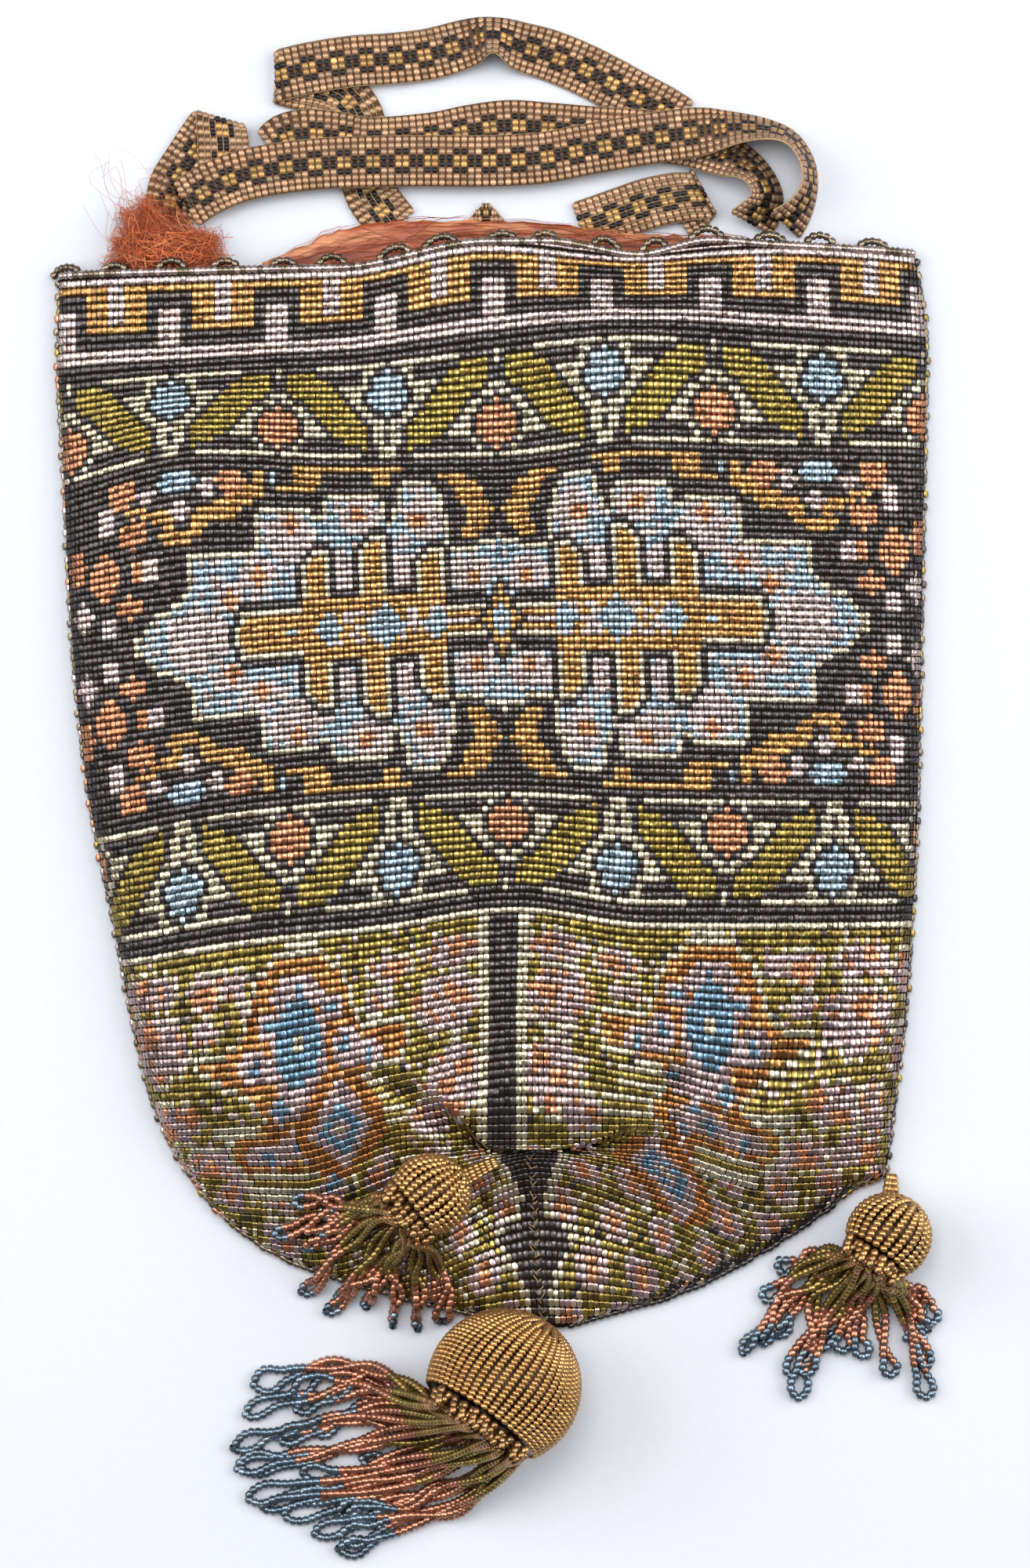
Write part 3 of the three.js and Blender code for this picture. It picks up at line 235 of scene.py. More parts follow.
# Straps: x, y, z of the middle, direction of the width, its tilt, and share of the full width
STRAP_WIDE, STRAP_COLUMNS, STRAP_PITCH = 11.4, 8, 1.67
STRAPS = {
    "strap_front": (
        (-70.6, 133.0, 4.5, 120, 0, 1), (-65.2, 136.6, 4.55, 118, 0, 1), (-57.6, 139.7, 4.55, 105, 0, 1),
        (-48.6, 141.5, 4.55, 98, 0, 1), (-37.8, 142.6, 4.55, 93, 0, 1), (-19.8, 143.1, 4.55, 90, 0, 1),
        (-1.8, 143.1, 4.55, 90, 0, 1), (10.8, 143.8, 4.55, 96, 0, 1), (21.6, 145.8, 4.55, 100, 0, 1),
        (34.2, 148.0, 4.55, 99, 0, 1), (45.0, 149.4, 5.4, 97, -6, 1), (54.0, 150.4, 6.4, 95, -42, 1),
        (62.1, 150.3, 5.6, 82, -60, 1), (68.0, 148.1, 5.7, 50, -68, 1), (71.5, 143.1, 5.8, 15, -70, 1),
        (72.2, 137.3, 5.8, -5, -70, 1), (70.2, 132.3, 5.5, -25, -60, 1), (66.6, 128.2, 4.5, -40, -40, 1)),
    "strap_back": (
        (-50.9, 145.3, 2.65, 130, 0, 1), (-48.2, 148.1, 2.65, 115, 0, 1), (-42.8, 149.4, 2.65, 95, 0, 1),
        (-34.2, 148.5, 2.65, 87, 0, 1), (-28.8, 147.4, 2.65, 88, 0, 1), (-14.4, 148.5, 2.65, 98, 0, 1),
        (-5.4, 150.3, 2.65, 100, 0, 1), (3.6, 151.4, 2.65, 93, 0, 1), (12.6, 150.8, 2.65, 86, 0, 1),
        (23.4, 149.9, 2.65, 86, 0, 1), (34.2, 149.2, 2.65, 87, 0, 1), (45.0, 147.8, 2.65, 80, 0, 1),
        (53.1, 144.5, 3.7, 66, -27, 1), (59.8, 140.6, 4.9, 35, -50, 1), (62.6, 135.5, 4.9, 5, -50, 1),
        (60.8, 131.2, 4.0, -20, -35, 1), (58.7, 128.7, 2.9, -28, -20, 1)),
    "strap_upper": (
        (-74.5, 129.2, 0.75, 176, 0, 1), (-74.3, 133.4, 0.75, 170, 0, 1), (-73.1, 138.4, 0.75, 156, 0, 1),
        (-70.0, 143.3, 0.75, 147, 0, 1), (-66.6, 148.5, 0.75, 145, 0, 1), (-64.3, 151.6, 0.75, 150, 0, 1),
        (-63.2, 152.6, 0.85, 160, 0, 1), (-62.8, 153.1, 1.7, 162, 0, 1), (-62.6, 152.6, 2.55, 165, 0, 1),
        (-62.3, 150.7, 2.65, 174, 0, 1), (-61.9, 146.3, 2.65, 180, 0, 1), (-61.9, 140.6, 2.65, 180, 0, 1)),
    "strap_loop": (
        (43.0, 152.2, 0.75, 238, 0, 1), (38.0, 155.3, 0.75, 239, 0, 1), (32.4, 158.3, 0.75, 241, 0, 1),
        (27.0, 161.3, 0.75, 242, 0, 1), (19.8, 164.9, 0.75, 245, 0, 1), (12.6, 167.8, 0.75, 250, 0, 1),
        (5.8, 169.7, 2.3, 256, 15, 1), (0.0, 171.9, 4.5, 268, 40, 1), (-5.8, 170.3, 2.6, 286, 15, 1),
        (-14.4, 167.9, 2.0, 284, 0, 1), (-23.4, 166.7, 2.65, 276, 0, 1), (-32.4, 166.1, 2.65, 276, 0, 1),
        (-41.4, 164.7, 2.65, 280, 0, 1), (-47.2, 163.4, 2.65, 282, 0, 1), (-49.0, 162.9, 2.55, 276, 0, 1),
        (-50.0, 162.5, 1.7, 270, 0, 1), (-49.0, 162.2, 0.85, 264, 0, 1), (-44.1, 161.1, 0.75, 260, 0, 1),
        (-39.2, 160.2, 0.75, 254, 0, 1), (-34.9, 158.4, 0.75, 238, 0, 1), (-31.9, 155.2, 0.75, 214, 0, 1),
        (-30.4, 150.8, 0.75, 192, 0, 1), (-30.1, 143.6, 0.75, 186, 0, 1), (-28.6, 136.8, 0.75, 206, 0, 1),
        (-25.6, 132.1, 0.75, 217, 0, 1), (-22.5, 128.3, 0.75, 219, 0, 1)),
    "strap_tab": (
        (41.4, 131.2, 0.75, 125, 0, 1), (45.0, 133.0, 0.75, 124, 0, 1), (47.2, 135.4, 0.8, 121, 0, 1),
        (48.1, 136.3, 1.7, 119, 0, 1), (47.0, 135.3, 2.55, 116, 0, 1), (43.6, 135.2, 2.65, 113, 0, 1),
        (36.0, 133.7, 2.3, 110, 0, 1), (29.7, 131.7, 0.85, 109, 0, 1), (24.3, 129.8, 0.8, 109, 0, 1),
        (19.6, 128.2, 0.75, 109, 0, 1)),
    "strap_tip": (
        (-1.8, 127.8, 0.75, 180, 0, 0.95), (-1.8, 131.2, 0.75, 180, 0, 0.5),
        (-1.8, 133.9, 0.75, 180, 0, 0.04)),
}
STRAP_STEPS, STRAP_CLEAR = 24, 0.7  # steps between rows of the table, and room below a tilted edge
STRAP_BEAD_LONG, STRAP_BEAD_WIDE, STRAP_BEAD_HIGH = 0.97, 0.92, 0.95  # shares of the spacing, and height
STRAP_EDGE, STRAP_THICK, WARP_RISE = 0.1, 0.2, 0.3
BORDER_THREAD, WARP_THREAD = (0.26, 0.26), (0.09, 0.09)
THREAD_LEAN, THREAD_TURNS = (0.3, 0.2, 1.0), (0.0, 2.094, 4.189)  # a thread's corners, a third turn apart
STRAP_CHART = (  # eight beads across, repeated along a strap
    "NNNKKNNN", "NNNKKNNN", "NNKGGKNN", "NNKGGKNN")
STRAP_LETTERS = {"N": BROWN, "K": JET, "G": OCHRE}
STRAP_METAL, STRAP_ROUGHNESS = 0.5, 0.42  # rubbed and tarnished, so duller than the pouch beads

# Tassels: ball centre and radius, pole of the ball, where it hangs from, whether it lies on the
# pouch, opening of the end loops, bead pitch on the ball, where the colours of the strands change,
# and their ends and bends
TASSELS = {
    "left": dict(
        ball=(-14.2, -92.2, 9.4), pole=(0.79, 0.61, -0.06), root=(0.6, -85.4, 1.6), on_pouch=True,
        loops=(0.1, 0.7), step=1.36, bands=(0.22, 0.6, 0.93),
        ends=((-45.4, -94.5, 1.5), (-40.5, -101.5, 2), (-49.9, -102.2, -2), (-44.1, -116.1, -2.5),
              (-36, -118.8, 2), (-23.2, -123.7, -2), (-11.5, -122.9, 3))),
    "bottom": dict(
        ball=(2.3, -135.9, 17.75), pole=(0.57, 0.78, -0.25), root=(11.2, -125.2, 2.0), on_pouch=False,
        loops=(0.4, 1.8), step=1.14, bands=(0.15, 0.38, 0.77),
        ends=((-55.1, -137.5, -6), (-37.1, -140.2, -4), (-56.9, -144.4, -3), (-41.2, -148, -2),
              (-59.9, -152.1, -2), (-58.5, -155.5, 1.5), (-30.2, -154.1, 2), (-56.5, -163.4, 2),
              (-48.2, -167.2, 2.5), (-28.8, -168.7, 2), (-41.2, -171.4, 3), (-35.8, -175.1, 4))),
    "right": dict(
        ball=(90.0, -102.4, 10.0), pole=(0.6, 0.8, -0.2), root=(91.2, -88.9, 1.5), on_pouch=False,
        loops=(0.3, 1.2), step=1.36, bands=(0.22, 0.5, 0.84),
        ends=((65.5, -111.1, -1), (56.9, -130.1, -2.5), (65.2, -126.2, -2), (70, -140.4, -2),
              (74.5, -129.1, 2), (85.5, -130.7, -2), (99.5, -140.2, 2), (96.7, -127.6, 2),
              (100.6, -123.1, 3))),
}
OPENING = 0.53  # distance of a ball's opening from its centre, as a share of its radius
STRING_PITCH, STRING_WIDE = 2.35, 1.88  # strings apart, and width of their beads
# Near a pole only every nth string goes on: sine of the tilt above which n holds, and the largest n
STRING_SKIPS, MOST_SKIP = ((0.62, 1), (0.31, 2), (0.15, 4)), 8
BALL_BEAD_DEPTH, BALL_BEAD_HIGH, BALL_BEAD_SHARE, BALL_SHADES = 0.7, 1.4, 0.96, 0.12
# The ball's core is painted near-black as shade in the gaps between the bead strings.
BALL_CORE_SHADE, CORE_DEPTH, CORE_RINGS, CORE_SIDES = "1c0f05", 0.75, 14, 28
BALL_CLEAR, BALL_GRID = 0.3, 0.5  # room below a ball on the pouch, and spacing of the spots tried
HANGER_STRINGS, HANGER_BEAD = (-1.5, -0.5, 0.5, 1.5), 1.3
FRINGE_COLOURS = (UMBER, MOSS, ROSE, SLATE)  # from the ball to the free ends
STRAND_PITCH, STRAND_WIDE, PAIR_GAP = 1.5, 2.15, 1.05
STRAND_SPREAD, STRAND_STRAY = 2, 1.6  # strands for each end in the table, and how far the others stray
STRAND_FAN = (12, 156)  # degrees round the opening: first strand, and from first to last
STRAND_LIFTS = (0.0, 1.3, 0.5, 1.9)  # strands lie over each other in turn
STRAND_OUT, STRAND_FALL, STRAND_WAVES = 4.0, 0.5, (1.4, 0.8)  # way out of the ball, fall and sway
STRAND_CLEAR, STRAND_REACH = 0.1, 2.0  # room below a strand, and how far round it the ground counts
PAIR_TURNS, PAIR_STILL = (1.0, 2.5), 0.82  # turns of a pair, and the share of the way where they end
LOOP_AT, LOOP_WIDTH, LOOP_CLOSE = 0.93, 0.055, 0.03  # end loop: middle, width and close, as shares
BEAD_FILL = 0.97  # length of a strung bead as a share of its pitch

# Silk: torn lining along the back of the mouth, and the frayed tuft at its left corner
LINING = np.array([  # x, lower and upper edge
    (-53.1, 114.3, 119.9), (-45.0, 115.3, 123.3), (-34.2, 116.1, 127.6), (-23.4, 117.1, 129.4),
    (-12.6, 118.6, 129.6), (-1.8, 119.8, 129.6), (12.6, 120.0, 128.9), (27.0, 118.6, 127.0),
    (41.4, 119.3, 126.4), (52.2, 119.7, 126.2), (58.5, 119.3, 125.5)])
LINING_Z, LINING_HALF = 2.4, 0.35
LINING_COLUMNS, LINING_LINES, LINING_FRAY = 121, 13, 0.35
LINING_LEAST = 2  # least height of the strip
LOOSE_SPOTS, LOOSE_LONG, LOOSE_THREAD = 7, (6, 26), (0.08, 0.05)  # loose threads of the lining
LINING_TONES = ("6a260a", "86350f", "96431c", "b4744e")  # darkest is painted shade in the folds, palest a painted highlight along the torn upper edge
TUFT = dict(centre=(-75.0, 122.8, 4.4), half=(12.0, 5.0, 4.2), wisps=30)
TUFT_SHADES = ("b05128", "c66739", "d48657", "974220")
FIBRE = ((0.09, 0.04), 1.6, 0.5)  # radii, stray and curl of a fibre
WISP = ((0.04, 0.03), 3.5, 1.8)
TUFT_SIDES, TUFT_RINGS, TUFT_CORE = 24, 12, 0.72
TUFT_TIPS = ((-87.7, 119.3, 1.4), (-86.4, 124.7, 1.8), (-84.6, 131.0, 2.6), (-80.1, 134.1, 3.4),
             (-63.9, 124.7, 2.2), (-61.7, 119.7, 1.6), (-76.0, 111.5, 2.3))

# Edges of the pouch: bead loops and a bead string along the mouth, and beads down the sides
PICOT_STEP, PICOT_WIDE, PICOT_HIGH = 12.2, 3.6, 2.6
PICOT_FROM, PICOT_TO, PICOT_SPOTS = -97, 95, 20
PICOT_PITCH, PICOT_BEAD = 1.45, 1.9
RIM_BEAD, RIM_COLOURS, RIM_SPOTS = 2.2, (MAUVE, MAUVE, GREY), 300
EDGE_SPOTS, EDGE_INWARD, EDGE_PLAIN = 400, 0.45, 0.78  # below the last share the beads are one colour
EDGE_PITCH, EDGE_WIDE = 1.75, 1.7  # beads that turn the rows at the sides
LEFT_EDGE, RIGHT_EDGE = (MAUVE, GREY, OLIVE, GREY, COPPER, GREY), (GREY, GREY, BLACK, OLIVE, BLACK)

# Studio lamps: name, place in metres, width, and share of the key light's power
STUDIO_LAMPS = (
    ("key", (-0.1, 0.5, 1.6), 2.4, 0.42), ("core", (-0.12, 0.45, 1.7), 0.9, 0.46),
    ("left", (-1.4, 0.3, 1.0), 1.6, 0.66), ("right", (1.4, 0.3, 1.0), 1.6, 0.84))
FILL_COLOUR = (1.0, 0.99, 0.98, 1)
FLOOR_HALF, FLOOR_Z = 2.0, -0.0002  # metres; just below the purse, so that the two don't share a plane
CAMERA_PX, CAMERA_Z, LENS, SENSOR = (657, 1000), 1.3, 130.0, 36.0


def linear(code):
    """Linear colour of an sRGB hex code."""
    value = np.array([int(code[i:i + 2], 16) / 255 for i in (0, 2, 4)])
    return np.where(value <= 0.04045, value / 12.92, ((value + 0.055) / 1.055) ** 2.4)


def through(xs, ys, x):
    """Smooth curve through table rows that never overshoots them."""
    order = np.argsort(xs)
    xs, ys = np.asarray(xs, float)[order], np.asarray(ys, float)[order]
    slope = np.diff(ys) / np.diff(xs)
    before, after = np.r_[slope[0], slope], np.r_[slope, slope[-1]]
    total = np.where(before * after > 0, before + after, 1.0)
    tangent = np.where(before * after > 0, 2 * before * after / total, 0.0)
    x = np.clip(x, xs[0], xs[-1])
    i = np.clip(np.searchsorted(xs, x, side="right") - 1, 0, len(xs) - 2)
    run = xs[i + 1] - xs[i]
    t = (x - xs[i]) / run
    bow = run * t * (1 - t) * (tangent[i] * (1 - t) - tangent[i + 1] * t)
    return ys[i] + (ys[i + 1] - ys[i]) * t * t * (3 - 2 * t) + bow


def smoothstep(low, high, x):
    """Share from zero at low to one at high, level at both."""
    t = np.clip((x - low) / (high - low), 0, 1)
    return t * t * (3 - 2 * t)


def unit(v):
    """Vectors brought to length one."""
    return v / np.maximum(np.linalg.norm(v, axis=-1, keepdims=True), 1e-9)


def catmull(rows, steps):
    """Points between table rows, on a curve through them."""
    rows = np.asarray(rows, float)
    ends = np.vstack([2 * rows[0] - rows[1], rows, 2 * rows[-1] - rows[-2]])
    out = []
    for i in range(len(rows) - 1):
        a, b, c, d = ends[i:i + 4]
        for t in np.arange(steps) / steps:
            bend = (2 * a - 5 * b + 4 * c - d) * t * t + (3 * b - a - 3 * c + d) * t ** 3
            out.append(b + 0.5 * ((c - a) * t + bend))
    return np.array(out + [rows[-1]])


# Form of the pouch, in millimetres of the drawing
def left_at(y):
    return through(SECTIONS[:, 0], SECTIONS[:, 1], y)


def right_at(y):
    return through(SECTIONS[:, 0], SECTIONS[:, 2], y)


def front_height(x, y, lead=0.0):
    """Height of the front above the floor at a level line y; the lip falls earlier by the lead."""
    left, right = left_at(y), right_at(y)
    side = np.clip(np.abs(2 * (x - left) / (right - left) - 1), 0, 1)
    height = through(SECTIONS[:, 0], SECTIONS[:, 3], y) - EDGE_RISE
    for fx, fy, heading, reach, width, rise in FOLDS:
        ca, sa = math.cos(math.radians(heading)), math.sin(math.radians(heading))
        along = ((x - fx) * ca + (y - fy) * sa) / reach
        off = ((y - fy) * ca - (x - fx) * sa) / width
        height = height + rise * np.exp(-off ** 2 - along ** 4)
    below = through(LIP[:, 0], LIP[:, 1], x) - y + lead
    drop = through(LIP[:, 0], LIP[:, 2], x)
    edge = through(LIP[:, 0], LIP[:, 3], x)
    height = height - drop * smoothstep(-edge, edge, below) * (1 - smoothstep(LIP_FROM, LIP_TO, below))
    return EDGE_RISE + np.maximum(0, height) * np.sqrt(1 - side ** 3)


def mouth_shift(x, y, edge):
    """How far the mouth's waves move a level line: edge 1 is the front, 2 the back."""
    fade = np.clip((y - MOUTH_Y) / MOUTH_FADE + 1, 0, 1) ** MOUTH_FADE_POWER
    return through(MOUTH[:, 0], MOUTH[:, edge], x) * fade


def level_of(x, y):
    """Level line that lies at y once the mouth's waves are added."""
    level = y
    for _ in range(6):
        level = y - mouth_shift(x, level, 1)
    return level


def front_point(x, y):
    """Points on the front above places of the drawing."""
    level = level_of(x, y)
    return np.stack([x, y, front_height(x, level)], axis=-1)


def ground_height(x, y):
    """Height of what a strand lies on."""
    inside = (y >= SECTIONS[-1, 0]) & (x > left_at(y)) & (x < right_at(y))
    return np.where(inside, front_height(x, y), 0.0)


def row_line(row, px):
    """Drawing height of a bead row at drawing positions px."""
    table = [through(ROW_LINES[:, 0], ROW_LINES[:, k], float(row)) for k in range(1, 10)]
    spots = np.linspace(table[0], table[1], 7)
    return through(spots, np.array(table[2:]), px)


def row_y(row, x):
    """Height of a bead row at places x, in millimetres of the drawing."""
    return (PX_Y - row_line(row, x / PX + PX_X)) * PX


# Bead pattern: a grid of colour numbers, rows down from the mouth, columns from the middle
def edge_of(mask):
    """Outermost beads of a shape."""
    inner = mask.copy()
    for shift, axis in ((1, 0), (-1, 0), (1, 1), (-1, 1)):
        inner &= np.roll(mask, shift, axis)
    return mask & ~inner


def grown(mask):
    """Shape with one more bead all round."""
    out = mask.copy()
    for shift, axis in ((1, 0), (-1, 0), (1, 1), (-1, 1)):
        out |= np.roll(mask, shift, axis)
    return out


def chart_array(rows, letters):
    """Colour numbers of a lettered chart."""
    return np.array([[letters[letter] for letter in row] for row in rows])


def paint_bands(grid, column):
    """Key band at the mouth, and a leaf band above and below the middle panel."""
    for first in MAUVE_LINES:
        grid[first:first + 2] = MAUVE
    key = chart_array(KEY_CHART, CHART_LETTERS)
    grid[KEY_ROW:KEY_ROW + len(key)] = key[:, (column + KEY_SHIFT) % key.shape[1]]
    leaf = chart_array(LEAF_CHART, CHART_LETTERS)
    half = LEAF_PERIOD // 2
    across = np.abs((column + half) % LEAF_PERIOD - half)
    upper, lower = LEAF_ROWS
    grid[upper:upper + len(leaf)] = leaf[::-1, across]
    grid[lower:lower + len(leaf)] = leaf[:, across]


def disc(a, b, spot):
    """Beads inside an oval: spot is its column, row and half sizes."""
    return ((a - spot[0]) / spot[2]) ** 2 + ((b - spot[1]) / spot[3]) ** 2 <= 1


def paint_rings(grid, near, rings):
    """Nested shapes, the widest first: each takes the beads within its reach."""
    for reach, colour in rings:
        grid[near <= reach] = colour


def paint_flecks(grid, zone, chance, flecks):
    """Scattered beads: each colour takes those whose chance lies in its range."""
    for low, high, colour in flecks:
        grid[zone & (chance >= low) & (chance < high)] = colour


def paint_medallion(grid, a, b, rng):
    """Mirrored figure of the middle panel: a columns and b rows from its centre."""
    for row, first, last in GOLD_RUNS:
        grid[(b == row) & (a >= first) & (a <= last)] = GOLD
    for spot in SPOTS:
        grid[disc(a, b, spot)] = spot[4]
    field = b <= np.interp(a, FIELD[:, 0], FIELD[:, 1])
    grid[field] = BLUE
    grid[field & (rng.random(grid.shape) < FIELD_SPECKLE)] = MAUVE
    for spot in FIELD_PATCHES:
        grid[field & disc(a, b, spot)] = MAUVE
    for ca, cb in FIELD_HEARTS:
        grid[field & disc(a, b, (ca, cb, *HEART_SIZE))] = COPPER
    grid[edge_of(field)] = CREAM
    body_end = BODY_TO - b // 2
    body = (a >= BODY_FROM) & (a <= body_end) & (b <= np.where(a < BODY_NARROW, *BODY_HALVES))
    grid[grown(body)] = BLACK
    for first, last, top in PRONGS:
        end = last - np.maximum(0, b - top + PRONG_SLANT)
        prong = (a >= first) & (a <= end) & (b <= top)
        grid[grown(prong) & ~body] = BLACK
        grid[prong] = CREAM
        grid[(a > first) & (a < end) & (b < top)] = GOLD
    grid[body] = GOLD
    grid[body & (a >= BODY_NARROW) & ((b == BODY_HALVES[1]) | (a == body_end))] = CREAM
    inner = body & (b <= MAUVE_HALF) & (a < MAUVE_TO)
    grid[inner & (rng.random(grid.shape) < BODY_MAUVE)] = MAUVE
    for middle, reach in BODY_SPOTS:
        grid[np.abs(a - middle) + b <= reach] = BLUE
    neck = (a >= NECK_COLUMNS[0]) & (a <= NECK_COLUMNS[1])
    for row, colour in enumerate(NECK_ROWS):
        grid[neck & (b == row)] = colour
    paint_rings(grid, a / HUB[0] + b / HUB[1], HUB_RINGS)
    grid[(a == 0) & (b == 0)] = MAUVE


def paint_panels(grid, column, row, rng):
    """Two lower panels of the front, mirrored about the dark stripe between them."""
    zone = row >= PANEL_ROW
    side = np.abs(column)
    chance = rng.random(grid.shape)
    grid[zone] = OLIVE
    paint_flecks(grid, zone, chance, PANEL_FLECKS)
    for spot in PANEL_FLOWERS:
        flower = zone & disc(side, row, spot)
        grid[zone & grown(flower) & (chance < OUTLINE_SHARE)] = CREAM
        grid[flower] = HEATHER
        paint_flecks(grid, flower, chance, FLOWER_FLECKS)
    for spot in PANEL_HEARTS:
        grid[zone & disc(side, row, spot)] = COPPER
    paint_petals(grid, side, row, chance)
    figure = side >= np.interp(row, FIGURE[:, 0], FIGURE[:, 1])
    figure &= side <= np.interp(row, FIGURE[:, 0], FIGURE[:, 2])
    figure &= (row >= FIGURE_FROM) & (row <= FIGURE_TO)
    grid[figure] = RUST
    paint_flecks(grid, figure, chance, FIGURE_FLECKS)
    for spot in FIGURE_HEARTS:
        grid[figure & disc(side, row, spot)] = HEATHER
    grid[edge_of(figure)] = CREAM
    for line, first, last, colour in PANEL_RUNS:
        grid[(row == line) & (side >= first) & (side <= last)] = colour
    for ca, cb in SPRIGS:
        paint_rings(grid, np.abs(side - ca) + np.abs(row - cb), SPRIG_RINGS)
    grid[disc(side, row, OVAL)] = AZURE
    grid[disc(side, row, OVAL_HEART)] = CREAM
    for ca, cb in GEMS:
        grid[disc(column, row, (ca, cb, *GEM_FIELD))] = RUST
        paint_rings(grid, np.abs(column - ca) / GEM_HALF[0] + np.abs(row - cb) / GEM_HALF[1], GEM_RINGS)
    paint_rings(grid, np.where(zone & (row <= STRIPE_TO), side, np.inf), STRIPE_RINGS)
    grid[PANEL_ROW - 1] = CREAM


def paint_petals(grid, side, row, chance):
    """Flowered ground of the two petals below the lip."""
    petals = row >= PETAL_ROW
    line = np.round((row - PETAL_FIRST) / PETAL_ROWS)
    half = PETAL_COLUMNS / 2
    across = (side - PETAL_SHIFT - (line % 2) * half + half) % PETAL_COLUMNS - half
    flower = np.hypot(across, (row - PETAL_FIRST - PETAL_ROWS * line) * PETAL_SQUASH)
    grid[petals] = OLIVE
    paint_flecks(grid, petals, chance, PETAL_FLECKS)
    paint_rings(grid, np.where(petals, flower, np.inf), PETAL_RINGS)


def pattern():
    """Colour numbers of the whole front, mouth first."""
    rng = np.random.default_rng(SEED + 6)
    column = np.arange(-HALF_COLUMNS, HALF_COLUMNS + 1)
    row = np.arange(ROWS)[:, None] + 0 * column
    column_grid = column + 0 * row
    grid = np.full(row.shape, BLACK)
    paint_panels(grid, column_grid, row, rng)
    paint_bands(grid, column)
    for first in BLACK_LINES:
        grid[first:first + 2] = BLACK
    grid[FIELD_ROWS] = BLACK
    paint_medallion(grid, np.abs(column_grid), np.abs(row - AXIS_ROW), rng)
    return grid


def paint_seam(colour, place):
    """Dark gathered seam below the lip, with its cream borders, painted by place."""
    px, py = place[:, 0] / PX + PX_X, PX_Y - place[:, 1] / PX
    middle = through(SEAM[:, 0], SEAM[:, 1], py)
    half = through(SEAM[:, 0], SEAM[:, 2], py)
    colour[np.abs(px - middle) < half + SEAM_BORDER] = CREAM
    colour[np.abs(px - middle) < half] = BLACK
    rim = through(RIM_DARK[:, 0], RIM_DARK[:, 1], px)
    dots = np.floor(px / RIM_CHECK[0] + py / RIM_CHECK[1]) % RIM_GAP != 0
    colour[(py > rim) & (px > RIM_FROM) & dots] = BLACK


# Meshes
class Soup:
    """Points, quads and point colours of one joined mesh, with a bake cell for each bead."""

    def __init__(self):
        self.points, self.quads, self.colours, self.local, self.cells = [], [], [], [], []
        self.count, self.used = 0, 0

    def add(self, points, quads, colours, local=None, cells=None):
        self.points.append(points)
        self.quads.append(quads + self.count)
        self.colours.append(colours)
        self.local.append(np.full((len(points), 2), 0.5) if local is None else local)
        self.cells.append(np.full(len(points), self.used) if cells is None else cells + self.used)
        self.used = int(self.cells[-1].max()) + 1
        self.count += len(points)

    def beads(self, template, place, across, along, normal, size, colours):
        """One bead for each place; size is width, length and height of each, or of all."""
        shape, quads, local = template
        size = np.broadcast_to(np.asarray(size, float), (len(place), 3))
        points = place[:, None] + sum(
            axis[:, None] * (size[:, k, None] * shape[None, :, k])[..., None]
            for k, axis in enumerate((across, along, normal)))
        n, m = len(place), len(shape)
        index = np.arange(n)[:, None, None] * m + quads[None]
        self.add(points.reshape(-1, 3), index.reshape(-1, 4), np.repeat(colours, m, axis=0),
                 np.tile(local, (n, 1)), np.repeat(np.arange(n), m))

    def make(self, name, material):
        """Object with the whole mesh, its point colours and its bake cells."""
        points, quads = np.vstack(self.points), np.vstack(self.quads)
        mesh = bpy.data.meshes.new(name)
        mesh.vertices.add(len(points))
        mesh.vertices.foreach_set("co", to_frame(points).ravel())
        mesh.loops.add(quads.size)
        mesh.loops.foreach_set("vertex_index", quads.ravel().astype(np.int32))
        mesh.polygons.add(len(quads))
        mesh.polygons.foreach_set("loop_start", np.arange(0, quads.size, 4, dtype=np.int32))
        mesh.polygons.foreach_set("use_smooth", np.ones(len(quads), dtype=bool))
        mesh.update()
        colour = mesh.attributes.new("bead_colour", "FLOAT_COLOR", "POINT")
        rgba = np.ones((len(points), 4), dtype=np.float32)
        rgba[:, :3] = np.vstack(self.colours)
        colour.data.foreach_set("color", rgba.ravel())
        side = math.ceil(math.sqrt(self.used))
        cell = np.concatenate(self.cells)
        spot = np.stack([cell % side, cell // side], axis=1) + 0.2 + 0.6 * np.vstack(self.local)
        layer = mesh.uv_layers.new(name="OFBake")
        layer.data.foreach_set("uv", (spot / side)[quads.ravel()].astype(np.float32).ravel())
        mesh.materials.append(material)
        mesh.validate()
        return link(name, mesh)


def drawing_offset():
    """Way from the drawing's zero to the frame's, in metres."""
    low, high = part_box("strap_tip")
    return np.array([(low[0] + high[0]) / 2 - TIP_X * MM, high[1] - TIP_Y * MM, 0.0])


OFFSET = drawing_offset()


def to_frame(points):
    """Points of the drawing in metres of the frame."""
    return (np.asarray(points) * MM + OFFSET).astype(np.float32)


def link(name, mesh):
    thing = bpy.data.objects.new(name, mesh)
    bpy.context.scene.collection.objects.link(thing)
    return thing


def settle(thing, slot, *nodes):
    """Puts a finished piece into the frame."""
    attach(thing, "root")
    if nodes:
        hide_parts(*nodes)


def bead_shape(turns, stations, square=1.0):
    """Bead around its thread: turns are angles round it, stations are (along, radius); a square
    below one flattens its top and sides."""
    closed = abs(turns[-1] - turns[0]) >= 359
    angles = np.radians(turns[:-1] if closed else turns)
    round_x = np.sign(np.cos(angles)) * np.abs(np.cos(angles)) ** square
    round_z = np.sign(np.sin(angles)) * np.abs(np.sin(angles)) ** square
    shape = [(0.5 * r * x, 0.5 * s, 0.5 * r * z) for s, r in stations for x, z in zip(round_x, round_z)]
    local = [(k / (len(angles) - 1), j / (len(stations) - 1))
             for j in range(len(stations)) for k in range(len(angles))]
    n = len(angles)
    spans = [(k, (k + 1) % n) for k in range(n if closed else n - 1)]
    quads = [(j * n + k, (j + 1) * n + k, (j + 1) * n + l, j * n + l)
             for j in range(len(stations) - 1) for k, l in spans]
    return np.array(shape), np.array(quads), np.array(local)


